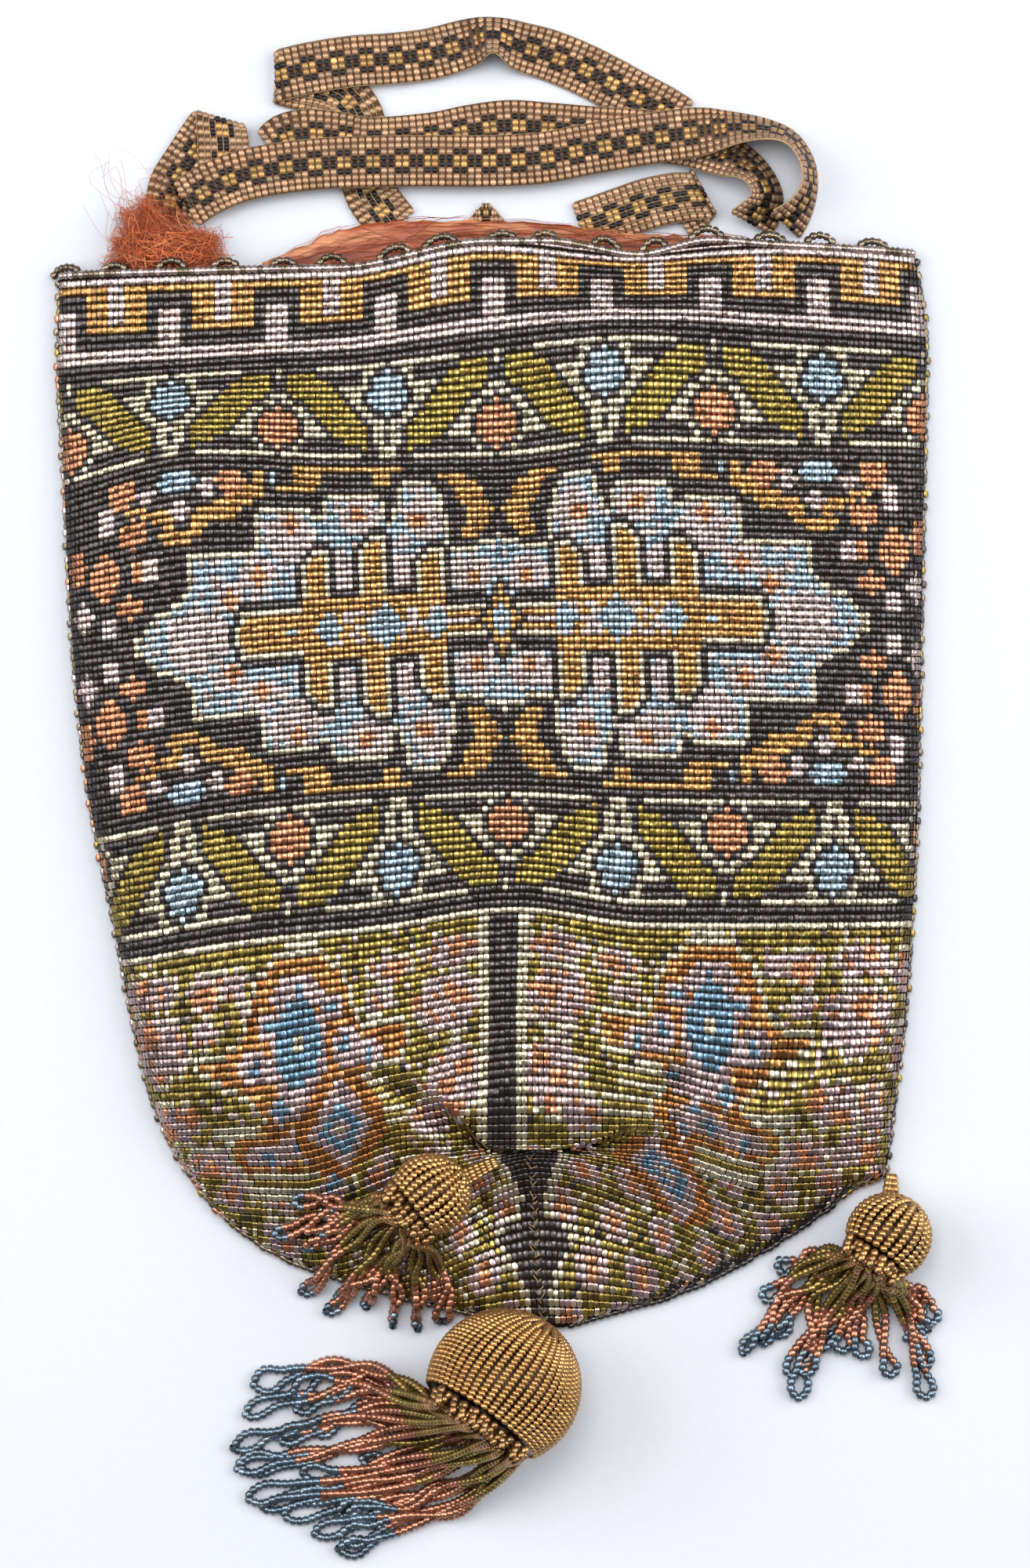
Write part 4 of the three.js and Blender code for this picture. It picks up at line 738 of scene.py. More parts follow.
BARREL = bead_shape((0, 35, 65, 115, 145, 180), ((-1, 0.76), (0, 1.0), (1, 0.76)), square=0.7)
WHOLE = bead_shape((0, 50, 130, 180, 235, 305, 360),
                   ((-1, 0.6), (-0.45, 0.97), (0.45, 0.97), (1, 0.6)), square=0.6)
DOME = bead_shape((0, 45, 90, 135, 180), ((-1, 0.5), (-0.4, 1.0), (0.4, 1.0), (1, 0.5)))
ROUND = bead_shape((0, 60, 120, 180, 240, 300, 360), ((-1, 0.72), (0, 1.0), (1, 0.72)))
FACET = bead_shape((0, 90, 180), ((-1, 0.8), (1, 0.8)))


def shaded(rng, index, spread=0.2):
    """Colours of single beads: the palette's, each a little lighter or darker."""
    chosen = bpy.context.scene.purse_colours
    colours = np.array([getattr(chosen, name)[:] for name in PALETTE])
    level = np.exp(rng.normal(0, spread, (len(index), 1)))
    warmth = rng.normal(0, 0.03, (len(index), 1)) * np.array([[1, 0, -1]])
    return np.clip(colours[index] * (level + warmth), 0, 1)


def front_beads():
    """Place, frame, size and colour number of each bead of the front."""
    grid = pattern()
    found = []
    columns = np.arange(-HALF_COLUMNS, HALF_COLUMNS + 1)
    for row in range(ROWS):
        mid_px = through(ROW_LINES[:, 0], (ROW_LINES[:, 1] + ROW_LINES[:, 2]) / 2, float(row))
        mid_y = (PX_Y - row_line(row, np.array([mid_px]))[0]) * PX
        reach = np.linspace(0, math.pi, ROW_SPOTS)
        low, high = left_at(mid_y) - ROW_SPARE, right_at(mid_y) + ROW_SPARE
        x = low + (high - low) * (1 - np.cos(reach)) / 2
        y = row_y(row, x)
        level = level_of(x, y)
        inside = (x > left_at(level) + SIDE_CLEAR) & (x < right_at(level) - SIDE_CLEAR)
        inside &= (y > SECTIONS[-1, 0]) & (level <= MOUTH_Y + MOUTH_CLEAR)
        x, y = x[inside], y[inside]
        if len(x) < FEWEST_SPOTS:
            continue
        line = front_point(x, y)
        arc = np.r_[0, np.cumsum(np.linalg.norm(np.diff(line, axis=0), axis=1))]
        middle = (through(MIDDLE[:, 0], MIDDLE[:, 1], float(row)) - PX_X) * PX
        arc -= np.interp(middle, x, arc)
        spots = columns * COLUMN_PITCH
        held = (spots > arc[0] + ROW_CLEAR) & (spots < arc[-1] - ROW_CLEAR)
        bx = np.interp(spots[held], arc, x)
        by = row_y(row, bx)
        place = front_point(bx, by)
        along = front_point(bx, row_y(row - 0.5, bx)) - front_point(bx, row_y(row + 0.5, bx))
        ahead = np.interp(spots[held] + AHEAD, arc, x)
        across = front_point(ahead, row_y(row, ahead)) - place
        pitch = np.linalg.norm(along, axis=1)
        face = unit(np.cross(across, along))
        left, right = left_at(by), right_at(by)
        creased = np.abs(bx - (left + right) / 2) < CREASE_SHARE * (right - left)
        keep = (pitch > TUCK_PITCH) & ~(creased & (face[:, 2] < CREASE_FACE))
        colour = grid[row, held]
        found.append((place[keep], across[keep], along[keep], pitch[keep], colour[keep],
                      np.full(keep.sum(), row)))
    return [np.concatenate(part) for part in zip(*found)]


# Materials
def add_node(tree, kind, **inputs):
    """Adds a node; each input is a value or the output that feeds it."""
    node = tree.nodes.new(kind)
    for name, value in inputs.items():
        socket = node.inputs[name.replace("_", " ")]
        if isinstance(value, bpy.types.NodeSocket):
            tree.links.new(value, socket)
        else:
            socket.default_value = value
    return node


def new_material(name, metallic, roughness, gloss=0.5):
    """Plain material, with its node tree and shader."""
    material = bpy.data.materials.new(name)
    material.use_nodes = True
    shader = material.node_tree.nodes["Principled BSDF"]
    shader.inputs["Metallic"].default_value = metallic
    shader.inputs["Roughness"].default_value = roughness
    shader.inputs["Specular IOR Level"].default_value = gloss
    return material, material.node_tree, shader


def bead_material(name, metallic, roughness):
    """Beads that each have their own colour."""
    material, tree, shader = new_material(name, metallic, roughness)
    colour = add_node(tree, "ShaderNodeAttribute")
    colour.attribute_name = "bead_colour"
    tree.links.new(colour.outputs["Color"], shader.inputs["Base Color"])
    return material


def fibre_material(name, roughness, size, vary, colour=None, gloss=0.5):
    """Spun fibre: dull, lighter and darker along its threads, with a fine raised grain. The size is
    that of the grain in millimetres along x, y and z, and the colour is the piece's own if not given."""
    material, tree, shader = new_material(name, 0.0, roughness, gloss)
    spots = add_node(tree, "ShaderNodeTexCoord").outputs["Object"]
    spots = add_node(tree, "ShaderNodeMapping", Vector=spots, Scale=[1 / (part * MM) for part in size])
    grain = add_node(tree, "ShaderNodeTexNoise", Vector=spots.outputs["Vector"], Scale=1.0, Detail=3.0)
    level = add_node(tree, "ShaderNodeMapRange", Value=grain.outputs["Fac"], From_Min=0.3, From_Max=0.7,
                     To_Min=1 - vary, To_Max=1 + vary)
    tint = add_node(tree, "ShaderNodeHueSaturation", Value=level.outputs["Result"])
    if colour is None:
        source = add_node(tree, "ShaderNodeAttribute")
        source.attribute_name = "bead_colour"
        tree.links.new(source.outputs["Color"], tint.inputs["Color"])
    else:
        tint.inputs["Color"].default_value = (*colour, 1)
    tree.links.new(tint.outputs["Color"], shader.inputs["Base Color"])
    bump = add_node(tree, "ShaderNodeBump", Height=grain.outputs["Fac"], Strength=0.5, Distance=0.1 * MM)
    tree.links.new(bump.outputs["Normal"], shader.inputs["Normal"])
    return material


def cut_metal_beads(settings):
    """Cut metal and metal-lined glass, tumbled smooth: a small bright spot of light on each bead in
    that bead's own colour, which falls off to dark at its ends."""
    name = "cut metal seed beads"
    made = bpy.data.materials.get(name)
    return made or bead_material(name, settings.bead_metal, settings.bead_roughness)


def tarnished_copper_beads():
    """Copper, rubbed by the hand and tarnished: a broad soft spot of light on each bead, so that the
    straps look browner and duller than the pouch."""
    return bead_material("tarnished copper seed beads", STRAP_METAL, STRAP_ROUGHNESS)


def waxed_thread(settings):
    """Waxed linen, painted near-black as the shade in the gaps between the beads: a ground without shine
    that sets each bead apart.
    """
    # near-black thread colour: painted shade in the gaps between the beads
    colour = settings.ground_gap_shade_colour
    return fibre_material("waxed linen thread", 0.85, (0.4, 0.4, 0.4), 0.5, colour, gloss=0.0)


def waxed_warp():
    """Waxed linen in long runs: pale lines between the strap beads and along the strap's edges."""
    return fibre_material("waxed linen warp", 0.8, (0.5, 0.5, 0.5), 0.3)


def twisted_thread():
    """Twisted linen sewing thread: pale uneven ticks down the dark seam."""
    return fibre_material("twisted linen thread", 0.8, (0.3, 0.3, 0.3), 0.25)


def worn_silk():
    """Plain silk, worn and faded: a soft sheen with long streaks across the strip, over the piece's own
    tones, which carry painted fold shade and a painted highlight band.
    """
    return fibre_material("worn orange silk", 0.55, (6.0, 0.5, 2.0), 0.3)


def silk_floss():
    """Silk frayed to its fibres: a soft dull lump of lighter and darker locks."""
    return fibre_material("frayed orange silk floss", 0.6, (1.5, 1.5, 1.5), 0.25)


def white_card(settings):
    """Matt white card: an even pale floor that shows nothing except soft shadows."""
    return fibre_material("matt white card", 0.9, (2.0, 2.0, 2.0), 0.01, settings.floor_colour)


# Pieces
def pouch_rings(inset, drop, roll, floor):
    """Rings of points round the pouch, mouth first: front from left to right, then the back."""
    turn = (1 - np.cos(np.linspace(0, math.pi, RING_SPOTS))) / 2
    rings = []
    for y in RING_LEVELS:
        left, right = left_at(y) + inset, right_at(y) - inset
        x = left + (right - left) * turn
        top = np.maximum(front_height(x, np.full(RING_SPOTS, y), GROUND_LEAD) - drop, LEAST_HEIGHT)
        front = np.stack([x, y + mouth_shift(x, y, 1), top], axis=1)
        bx = np.linspace(right - roll, left + roll, BACK_SPOTS)
        back = np.stack([bx, y + mouth_shift(bx, y, 2), np.full(BACK_SPOTS, floor)], axis=1)
        rings.append(np.vstack([front, back]))
    return np.array(rings)


def skin(rings, flip=False):
    """Quads between closed rings of points."""
    count, sides = rings.shape[:2]
    i, k = np.meshgrid(np.arange(count - 1), np.arange(sides), indexing="ij")
    a, b = i * sides + k, i * sides + (k + 1) % sides
    quads = np.stack([a, b, b + sides, a + sides], axis=-1).reshape(-1, 4)
    return quads[:, ::-1] if flip else quads


class PurseSettings(bpy.types.PropertyGroup):
    """Sizes and finishes of the purse, and its light."""

    bead_wide: bpy.props.FloatProperty(
        name="Bead width", description="Width of a pouch bead, as a share of the spacing of its columns",
        default=0.91, min=0.5, max=1.2, subtype="FACTOR")
    bead_long: bpy.props.FloatProperty(
        name="Bead length", description="Length of a pouch bead, as a share of the spacing of its rows",
        default=1.03, min=0.5, max=1.2, subtype="FACTOR")
    bead_high: bpy.props.FloatProperty(
        name="Bead rise", description="Height of a pouch bead above its thread",
        default=0.48 * MM, min=0.1 * MM, max=1.5 * MM, unit="LENGTH", precision=5)
    bead_metal: bpy.props.FloatProperty(
        name="Bead metal", description="How far the beads look like metal rather than glass",
        default=0.85, min=0.0, max=1.0, subtype="FACTOR")
    bead_roughness: bpy.props.FloatProperty(
        name="Bead roughness", description="Blur of the light on the beads",
        default=0.25, min=0.05, max=1.0, subtype="FACTOR")
    tuft_fibres: bpy.props.IntProperty(
        name="Tuft fibres", description="Number of silk fibres in the tuft",
        default=1500, min=100, max=2500)
    lining_threads: bpy.props.IntProperty(
        name="Lining threads", description="Number of loose threads on the lining",
        default=220, min=0, max=1000)
    # The ground thread's colour is near-black as painted shade in the gaps between the pouch beads.
    ground_gap_shade_colour: bpy.props.FloatVectorProperty(
        name="Ground thread", description="Colour of the thread that carries the pouch beads",
        default=linear("1a1511"), min=0.0, max=1.0, subtype="COLOR")
    # The strap ground's brown is darkened as painted shade in the gaps between the strap beads.
    strap_gap_shade_colour: bpy.props.FloatVectorProperty(
        name="Strap ground", description="Colour of the thread that carries the strap beads",
        default=linear("4a2f18"), min=0.0, max=1.0, subtype="COLOR")
    warp_colour: bpy.props.FloatVectorProperty(
        name="Strap warp", description="Colour of the long threads between the strap beads",
        default=linear("a58a66"), min=0.0, max=1.0, subtype="COLOR")
    stitch_colour: bpy.props.FloatVectorProperty(
        name="Seam stitches", description="Colour of the stitches down the gathered seam",
        default=linear("9c8058"), min=0.0, max=1.0, subtype="COLOR")
    floor_colour: bpy.props.FloatVectorProperty(
        name="Floor", description="Colour of the card that the purse lies on",
        default=linear("c4c7ce"), min=0.0, max=1.0, subtype="COLOR")
    key_power: bpy.props.FloatProperty(
        name="Key light", description="Power that the studio lamps share out",
        default=34.0, min=0.0, unit="POWER")
    fill_strength: bpy.props.FloatProperty(
        name="Fill light", description="Strength of the even light from all round", default=0.18, min=0.0)


class PurseColours(bpy.types.PropertyGroup):
    """Colours of the beads."""

    __annotations__ = {
        name: bpy.props.FloatVectorProperty(
            name=name.capitalize(), description=f"Colour of the {name} beads", default=linear(code),
            min=0.0, max=1.0, subtype="COLOR")
        for name, code in PALETTE.items()}


class PurseOperator:
    """What the operators share: each builds its pieces from the settings."""

    bl_options = {"REGISTER"}

    def execute(self, context):
        self.build(context.scene.purse)
        return {"FINISHED"}


class PURSE_OT_ground(PurseOperator, bpy.types.Operator):
    """Thread ground of the pouch: its outer and inner skins joined round the mouth"""

    bl_idname = "purse.ground"
    bl_label = "Thread ground"

    def build(self, settings):
        outer = pouch_rings(OUTER_SKIN, GROUND_DEPTH, EDGE_ROLL, BACK_SKIN)
        inner = pouch_rings(INNER_SKIN, WALL, 0.0, WALL)[INNER_RINGS]
        mesh = bpy.data.meshes.new("pouch_ground")
        bm = bmesh.new()
        for rings, flip in ((outer, True), (inner, False)):
            verts = [bm.verts.new(p) for p in to_frame(rings.reshape(-1, 3))]
            for quad in skin(rings, flip):
                bm.faces.new([verts[i] for i in quad])
            end = verts[-rings.shape[1]:]
            bm.faces.new(end[::-1] if flip else end)
        bm.verts.ensure_lookup_table()
        sides = outer.shape[1]
        first = outer.shape[0] * sides
        for k in range(sides):
            j = (k + 1) % sides
            bm.faces.new([bm.verts[k], bm.verts[first + k], bm.verts[first + j], bm.verts[j]])
        bmesh.ops.recalc_face_normals(bm, faces=bm.faces)
        for face in bm.faces:
            face.smooth = len(face.verts) == 4
        bm.to_mesh(mesh)
        bm.free()
        mesh.materials.append(waxed_thread(settings))
        settle(link("pouch_ground", mesh), "pouch_beads", "pouch")


class PURSE_OT_front_beads(PurseOperator, bpy.types.Operator):
    """Woven beads of the front, in four stretches from the mouth to the tip"""

    bl_idname = "purse.front_beads"
    bl_label = "Front beads"

    def build(self, settings):
        rng = np.random.default_rng(SEED)
        place, across, along, pitch, colour, row = front_beads()
        below = row >= SEAM_ROW
        seam = colour[below]
        paint_seam(seam, place[below])
        colour[below] = seam
        across, along = unit(across), unit(along)
        normal = unit(np.cross(across, along))
        place = place - normal * GROUND_DEPTH
        normal = unit(normal + rng.normal(0, BEAD_LEAN, normal.shape))
        across = unit(across - normal * (across * normal).sum(axis=1, keepdims=True))
        along = np.cross(normal, across)
        place += rng.normal(0, PLACE_JITTER, place.shape)
        tone = shaded(rng, colour)
        size = np.stack([pitch * settings.bead_long, np.full(len(row), COLUMN_PITCH * settings.bead_wide),
                         np.full(len(row), 2 * settings.bead_high / MM)], axis=1)
        size *= 1 + rng.normal(0, SIZE_JITTER, size.shape)
        size[colour == BLACK] *= BLACK_SIZE
        for name, first, last in FRONT_STRETCHES:
            part = (row >= first) & (row < last)
            axes = along[part], -across[part], normal[part]
            soup = Soup()
            soup.beads(BARREL, place[part], *axes, size[part], tone[part])
            settle(soup.make(name, cut_metal_beads(settings)), "pouch_beads")


class PURSE_OT_back_beads(PurseOperator, bpy.types.Operator):
    """Woven beads of the back, in low relief because it is pressed flat"""

    bl_idname = "purse.back_beads"
    bl_label = "Back beads"

    def build(self, settings):
        rng = np.random.default_rng(SEED + 1)
        grid = pattern()
        rows = np.arange(ROWS)
        columns = np.arange(-HALF_COLUMNS, HALF_COLUMNS + 1)
        row, column = (part.ravel() for part in np.meshgrid(rows, columns, indexing="ij"))
        x = (MIDDLE[0, 1] - PX_X) * PX + column * COLUMN_PITCH
        y = MOUTH_Y - BACK_START - row * BACK_PITCH
        held = (x > left_at(y) + BACK_SIDE) & (x < right_at(y) - BACK_SIDE)
        held &= y > SECTIONS[-1, 0] + BACK_END
        x, y, colour = x[held], y[held], grid[row, column + HALF_COLUMNS][held]
        place = np.stack([x, y + mouth_shift(x, y, 2), np.full(len(x), BACK_BEAD_Z)], axis=1)
        axes = [np.tile(axis, (len(x), 1)) for axis in ((-1.0, 0, 0), (0, 1.0, 0), (0, 0, -1.0))]
        size = (COLUMN_PITCH * settings.bead_wide, BACK_PITCH * settings.bead_long, BACK_BEAD_HIGH)
        soup = Soup()
        soup.beads(FACET, place, *axes, size, shaded(rng, colour))
        settle(soup.make("pouch_beads_back", cut_metal_beads(settings)), "pouch_beads")


def strap_frames(rows):
    """Middle points of a strap at bead pitch, with its tangent, width direction and width."""
    fine = catmull(rows, STRAP_STEPS)
    arc = np.r_[0, np.cumsum(np.linalg.norm(np.diff(fine[:, :3], axis=0), axis=1))]
    count = max(2, int(round(arc[-1] / STRAP_PITCH)))
    spots = (np.arange(count) + 0.5) * arc[-1] / count
    line = np.stack([np.interp(spots, arc, fine[:, k]) for k in range(6)], axis=1)
    turn, tilt = np.radians(line[:, 3]), np.radians(line[:, 4])
    across = np.stack([np.cos(turn) * np.cos(tilt), np.sin(turn) * np.cos(tilt), np.sin(tilt)], axis=1)
    tangent = unit(np.gradient(line[:, :3], axis=0))
    middle = line[:, :3].copy()
    middle[:, 2] = np.maximum(middle[:, 2], np.abs(across[:, 2]) * STRAP_WIDE / 2 + STRAP_CLEAR)
    return middle, tangent, across, line[:, 5] * STRAP_WIDE


class PURSE_OT_straps(PurseOperator, bpy.types.Operator):
    """Woven bead straps heaped above the mouth"""

    bl_idname = "purse.straps"
    bl_label = "Straps"

    def build(self, settings):
        rng = np.random.default_rng(SEED + 2)
        chart = chart_array(STRAP_CHART, STRAP_LETTERS)
        linen = waxed_warp()
        copper = tarnished_copper_beads()
        for name, rows in STRAPS.items():
            middle, tangent, across, wide = strap_frames(rows)
            count = len(middle)
            side = (np.arange(STRAP_COLUMNS) - (STRAP_COLUMNS - 1) / 2) / STRAP_COLUMNS
            place = middle[:, None] + across[:, None] * (wide[:, None] * side)[..., None]
            shape = (count, STRAP_COLUMNS, 3)
            flat = [np.broadcast_to(v[:, None], shape).reshape(-1, 3) for v in (across, tangent)]
            normal = unit(np.cross(flat[0], flat[1]))
            along = np.cross(normal, flat[0])
            colour = chart[np.arange(count) % len(chart)].ravel()
            size = np.stack([np.full(count * STRAP_COLUMNS, STRAP_PITCH * STRAP_BEAD_LONG),
                             np.repeat(wide / STRAP_COLUMNS * STRAP_BEAD_WIDE, STRAP_COLUMNS),
                             np.full(count * STRAP_COLUMNS, STRAP_BEAD_HIGH)], axis=1)
            soup, cords = Soup(), Soup()
            soup.beads(WHOLE, place.reshape(-1, 3), along, -flat[0], normal, size, shaded(rng, colour))
            edge = across * (wide / 2 + STRAP_EDGE)[:, None]
            face = unit(np.cross(across, tangent))
            thick = face * STRAP_THICK
            rings = np.stack([middle + edge + thick, middle - edge + thick,
                              middle - edge - thick, middle + edge - thick], axis=1)
            # dark strap ground: painted shade in the gaps between the strap beads
            tone = np.tile(settings.strap_gap_shade_colour, (count * 4, 1))
            cords.add(rings.reshape(-1, 3), skin(rings, True), tone)
            for k in range(STRAP_COLUMNS + 1):
                border = k in (0, STRAP_COLUMNS)
                rise = face * (0.0 if border else WARP_RISE)
                warp = middle + across * (wide * (k / STRAP_COLUMNS - 0.5))[:, None] + rise
                thread(cords, warp, BORDER_THREAD if border else WARP_THREAD, settings.warp_colour)
            settle(soup.make(f"{name}_beads", copper), "strap_beads", name)
            settle(cords.make(f"{name}_threads", linen), "strap_beads")


def thread(soup, path, radii, tone):
    """Three-sided strand along a path, tapering from the first radius to the second."""
    heading = unit(np.gradient(path, axis=0))
    side = unit(np.cross(heading, THREAD_LEAN))
    other = np.cross(heading, side)
    radius = np.linspace(*radii, len(path))[:, None]
    rings = np.stack([path + radius * (side * math.cos(t) + other * math.sin(t))
                      for t in THREAD_TURNS], axis=1)
    soup.add(rings.reshape(-1, 3), skin(rings), np.tile(tone, (len(path) * len(THREAD_TURNS), 1)))


def pole_frame(pole):
    """Axis of a ball towards its pole, and two directions across it."""
    axis = unit(np.array(pole, float))
    side = unit(np.array([-axis[1], axis[0], 0.0]))
    return axis, side, np.cross(axis, side)


def ball_centre(spec):
    """Centre of a ball that rests on the floor, or on the front of the pouch."""
    x, y, radius = spec["ball"]
    if not spec["on_pouch"]:
        return np.array([x, y, radius])
    spots = np.arange(-radius, radius + 0.1, BALL_GRID)
    dx, dy = np.meshgrid(spots, spots)
    rest = radius ** 2 - dx ** 2 - dy ** 2
    ground = ground_height(x + dx, y + dy)
    height = np.where((rest > 0) & (ground > 0), ground + np.sqrt(np.maximum(rest, 0)) + BALL_CLEAR, radius)
    return np.array([x, y, height.max()])


def ball_soup(spec, centre, rng):
    """Bead strings from the pole of a ball to its open rim, over a core painted near-black as the shade in
    the gaps between the strings.
    """
    radius = spec["ball"][2]
    axis, side, up = pole_frame(spec["pole"])
    rim = math.acos(-OPENING)
    strings = int(round(2 * math.pi * radius / STRING_PITCH / MOST_SKIP)) * MOST_SKIP
    step = spec["step"]
    steps = int(rim * radius / step)
    soup = Soup()
    for i in range(steps):
        tilt = (i + 0.6) / steps * rim
        skip = next((every for least, every in STRING_SKIPS if math.sin(tilt) > least), MOST_SKIP)
        turn = np.arange(0, strings, skip) / strings * 2 * math.pi
        round_dir = np.cos(turn)[:, None] * side + np.sin(turn)[:, None] * up
        normal = round_dir * math.sin(tilt) + axis * math.cos(tilt)
        along = axis * math.sin(tilt) - round_dir * math.cos(tilt)
        across = np.cross(along, normal)
        place = centre + normal * (radius - BALL_BEAD_DEPTH)
        wide = min(2 * math.pi * radius * math.sin(tilt) / len(turn) * BALL_BEAD_SHARE, STRING_WIDE)
        tone = shaded(rng, np.full(len(turn), BRONZE), BALL_SHADES)
        soup.beads(DOME, place, across, along, normal, (wide, step * BEAD_FILL, BALL_BEAD_HIGH), tone)
    tilts = np.linspace(0.02, rim, CORE_RINGS)
    turn = np.arange(CORE_SIDES) / CORE_SIDES * 2 * math.pi
    round_dir = np.cos(turn)[:, None] * side + np.sin(turn)[:, None] * up
    core = radius - CORE_DEPTH
    rings = [centre + core * (round_dir * math.sin(t) + axis * math.cos(t)) for t in tilts]
    rings.append(centre - axis * (OPENING * radius - 0.1) + round_dir * 0.1)
    rings = np.array(rings)
    # near-black core: painted shade between the strings
    tone = np.tile(linear(BALL_CORE_SHADE), (len(rings) * CORE_SIDES, 1))
    soup.add(rings.reshape(-1, 3), skin(rings, True), tone)
    return soup


def strand_path(spec, centre, turn, end, bend, lift, rng):
    """Route of one looped strand from the rim of its ball to its free end."""
    radius = spec["ball"][2]
    axis, side, up = pole_frame(spec["pole"])
    reach = (radius * math.sqrt(1 - OPENING ** 2) - 1.0) * rng.uniform(0.72, 1.0)
    root = centre - axis * (OPENING * radius + 0.2) + reach * (side * math.cos(turn) + up * math.sin(turn))
    out = root - axis * STRAND_OUT
    across = unit(np.array([out[1] - end[1], end[0] - out[0], 0.0]))
    waves = rng.uniform(-1, 1, 2) * np.array(STRAND_WAVES)
    points = [root, (root + out) / 2, out]
    for t in np.linspace(0.08, 1, 13):
        sway = 4 * bend * t * (1 - t) + waves[0] * math.sin(6.3 * t) + waves[1] * math.sin(12.6 * t)
        x, y = out[:2] + (end - out[:2]) * t + across[:2] * sway
        ground = 0.0
        if spec["on_pouch"]:
            dx, dy = np.meshgrid(*[(-STRAND_REACH, 0.0, STRAND_REACH)] * 2)
            ground = float(ground_height(x + dx, y + dy).max())
        floor = ground + STRAND_WIDE / 2 + STRAND_CLEAR + lift * (1 - t)
        fall = max(0.0, 1 - t / STRAND_FALL) ** 1.5
        points.append(np.array([x, y, floor + max(0.0, out[2] - floor) * fall]))
    return catmull(points, 10)


def string_beads(soup, path, pitch, wide, tone_of, rng):
    """Threads beads on a path."""
    arc = np.r_[0, np.cumsum(np.linalg.norm(np.diff(path, axis=0), axis=1))]
    count = max(2, int(arc[-1] / pitch))
    spots = (np.arange(count) + 0.5) * arc[-1] / count
    place = np.stack([np.interp(spots, arc, path[:, k]) for k in range(3)], axis=1)
    along = unit(np.gradient(place, axis=0))
    across = unit(np.cross(np.tile((0.0, 0.0, 1.0), (count, 1)), -along) + 1e-6)
    normal = np.cross(across, along)
    tone = shaded(rng, tone_of(spots / arc[-1]))
    soup.beads(ROUND, place, across, along, normal, (wide, pitch * BEAD_FILL, wide), tone)


def fringe_tone(bands, share):
    """Colour numbers at shares of the way from the ball to the free end."""
    return np.array(FRINGE_COLOURS)[np.searchsorted(bands, share)]


def fringe_soup(spec, centre, rng):
    """Looped strands of one tassel: each is a pair of strings that turn round each other."""
    soup = Soup()
    ends = np.array(spec["ends"], float)
    total = (len(ends) - 1) * STRAND_SPREAD + 1
    for k in range(total):
        at = k / STRAND_SPREAD
        near = int(min(at, len(ends) - 2))
        end = ends[near] + (ends[near + 1] - ends[near]) * (at - near)
        first, fan = STRAND_FAN
        turn = math.radians(first + fan * k / (total - 1)) * (-1) ** k
        tip = end[:2].copy()
        if k % STRAND_SPREAD:
            tip += rng.normal(0, STRAND_STRAY, 2)
        lift = STRAND_LIFTS[k % len(STRAND_LIFTS)]
        path = strand_path(spec, centre, turn, tip, end[2], lift, rng)
        heading = unit(np.gradient(path, axis=0))
        across = unit(np.cross(heading, (0.0, 0.0, 1.0)))
        share = np.linspace(0, 1, len(path))
        turns = 2 * math.pi * rng.uniform(*PAIR_TURNS) * np.minimum(share, PAIR_STILL)
        gap = PAIR_GAP * np.cos(turns)[:, None] * across
        gap += PAIR_GAP * np.abs(np.sin(turns))[:, None] * np.array([0.0, 0.0, 1.0])
        open_end = rng.uniform(*spec["loops"]) * np.exp(-((share - LOOP_AT) / LOOP_WIDTH) ** 2)
        gap += (open_end * np.sign(np.cos(turns[-1])))[:, None] * across
        gap *= np.sqrt(np.clip((1.0 - share) / LOOP_CLOSE, 0, 1))[:, None]
        other = gap * np.array([-1.0, -1.0, 0.0])
        loop = np.vstack([path + gap, (path + other)[::-1][1:]])
        string_beads(soup, loop, STRAND_PITCH, STRAND_WIDE,
                     lambda s: fringe_tone(spec["bands"], 1 - np.abs(2 * s - 1)), rng)
    return soup


class PURSE_OT_tassels(PurseOperator, bpy.types.Operator):
    """Tassels: bead-covered balls, their bead hangers and their looped fringes"""

    bl_idname = "purse.tassels"
    bl_label = "Tassels"

    def build(self, settings):
        material = cut_metal_beads(settings)
        for number, (name, spec) in enumerate(TASSELS.items()):
            rng = np.random.default_rng(SEED + 10 + number)
            centre = ball_centre(spec)
            ball = ball_soup(spec, centre, rng).make(f"tassel_ball_{name}_beads", material)
            settle(ball, "ball_beads", f"tassel_ball_{name}")
            fringe = fringe_soup(spec, centre, rng).make(f"tassel_fringe_{name}_beads", material)
            settle(fringe, "fringe_beads", f"tassel_fringe_{name}")
            x, y, lift = spec["root"]
            base = float(ground_height(np.array(x), np.array(y))) if spec["on_pouch"] else 0.0
            start = np.array([x, y, base + lift])
            end = centre + unit(start - centre) * (spec["ball"][2] + 0.2)
            soup = Soup()
            for shift in HANGER_STRINGS:
                side = unit(np.cross(end - start, (0.0, 0.0, 1.0))) * shift
                line = np.linspace(start + side * 0.5, end + side, 12)
                string_beads(soup, line, spec["step"], HANGER_BEAD, lambda s: np.full(len(s), BRONZE), rng)
            hanger = soup.make(f"tassel_hanger_{name}_beads", material)
            settle(hanger, "ball_beads", f"tassel_hanger_{name}")


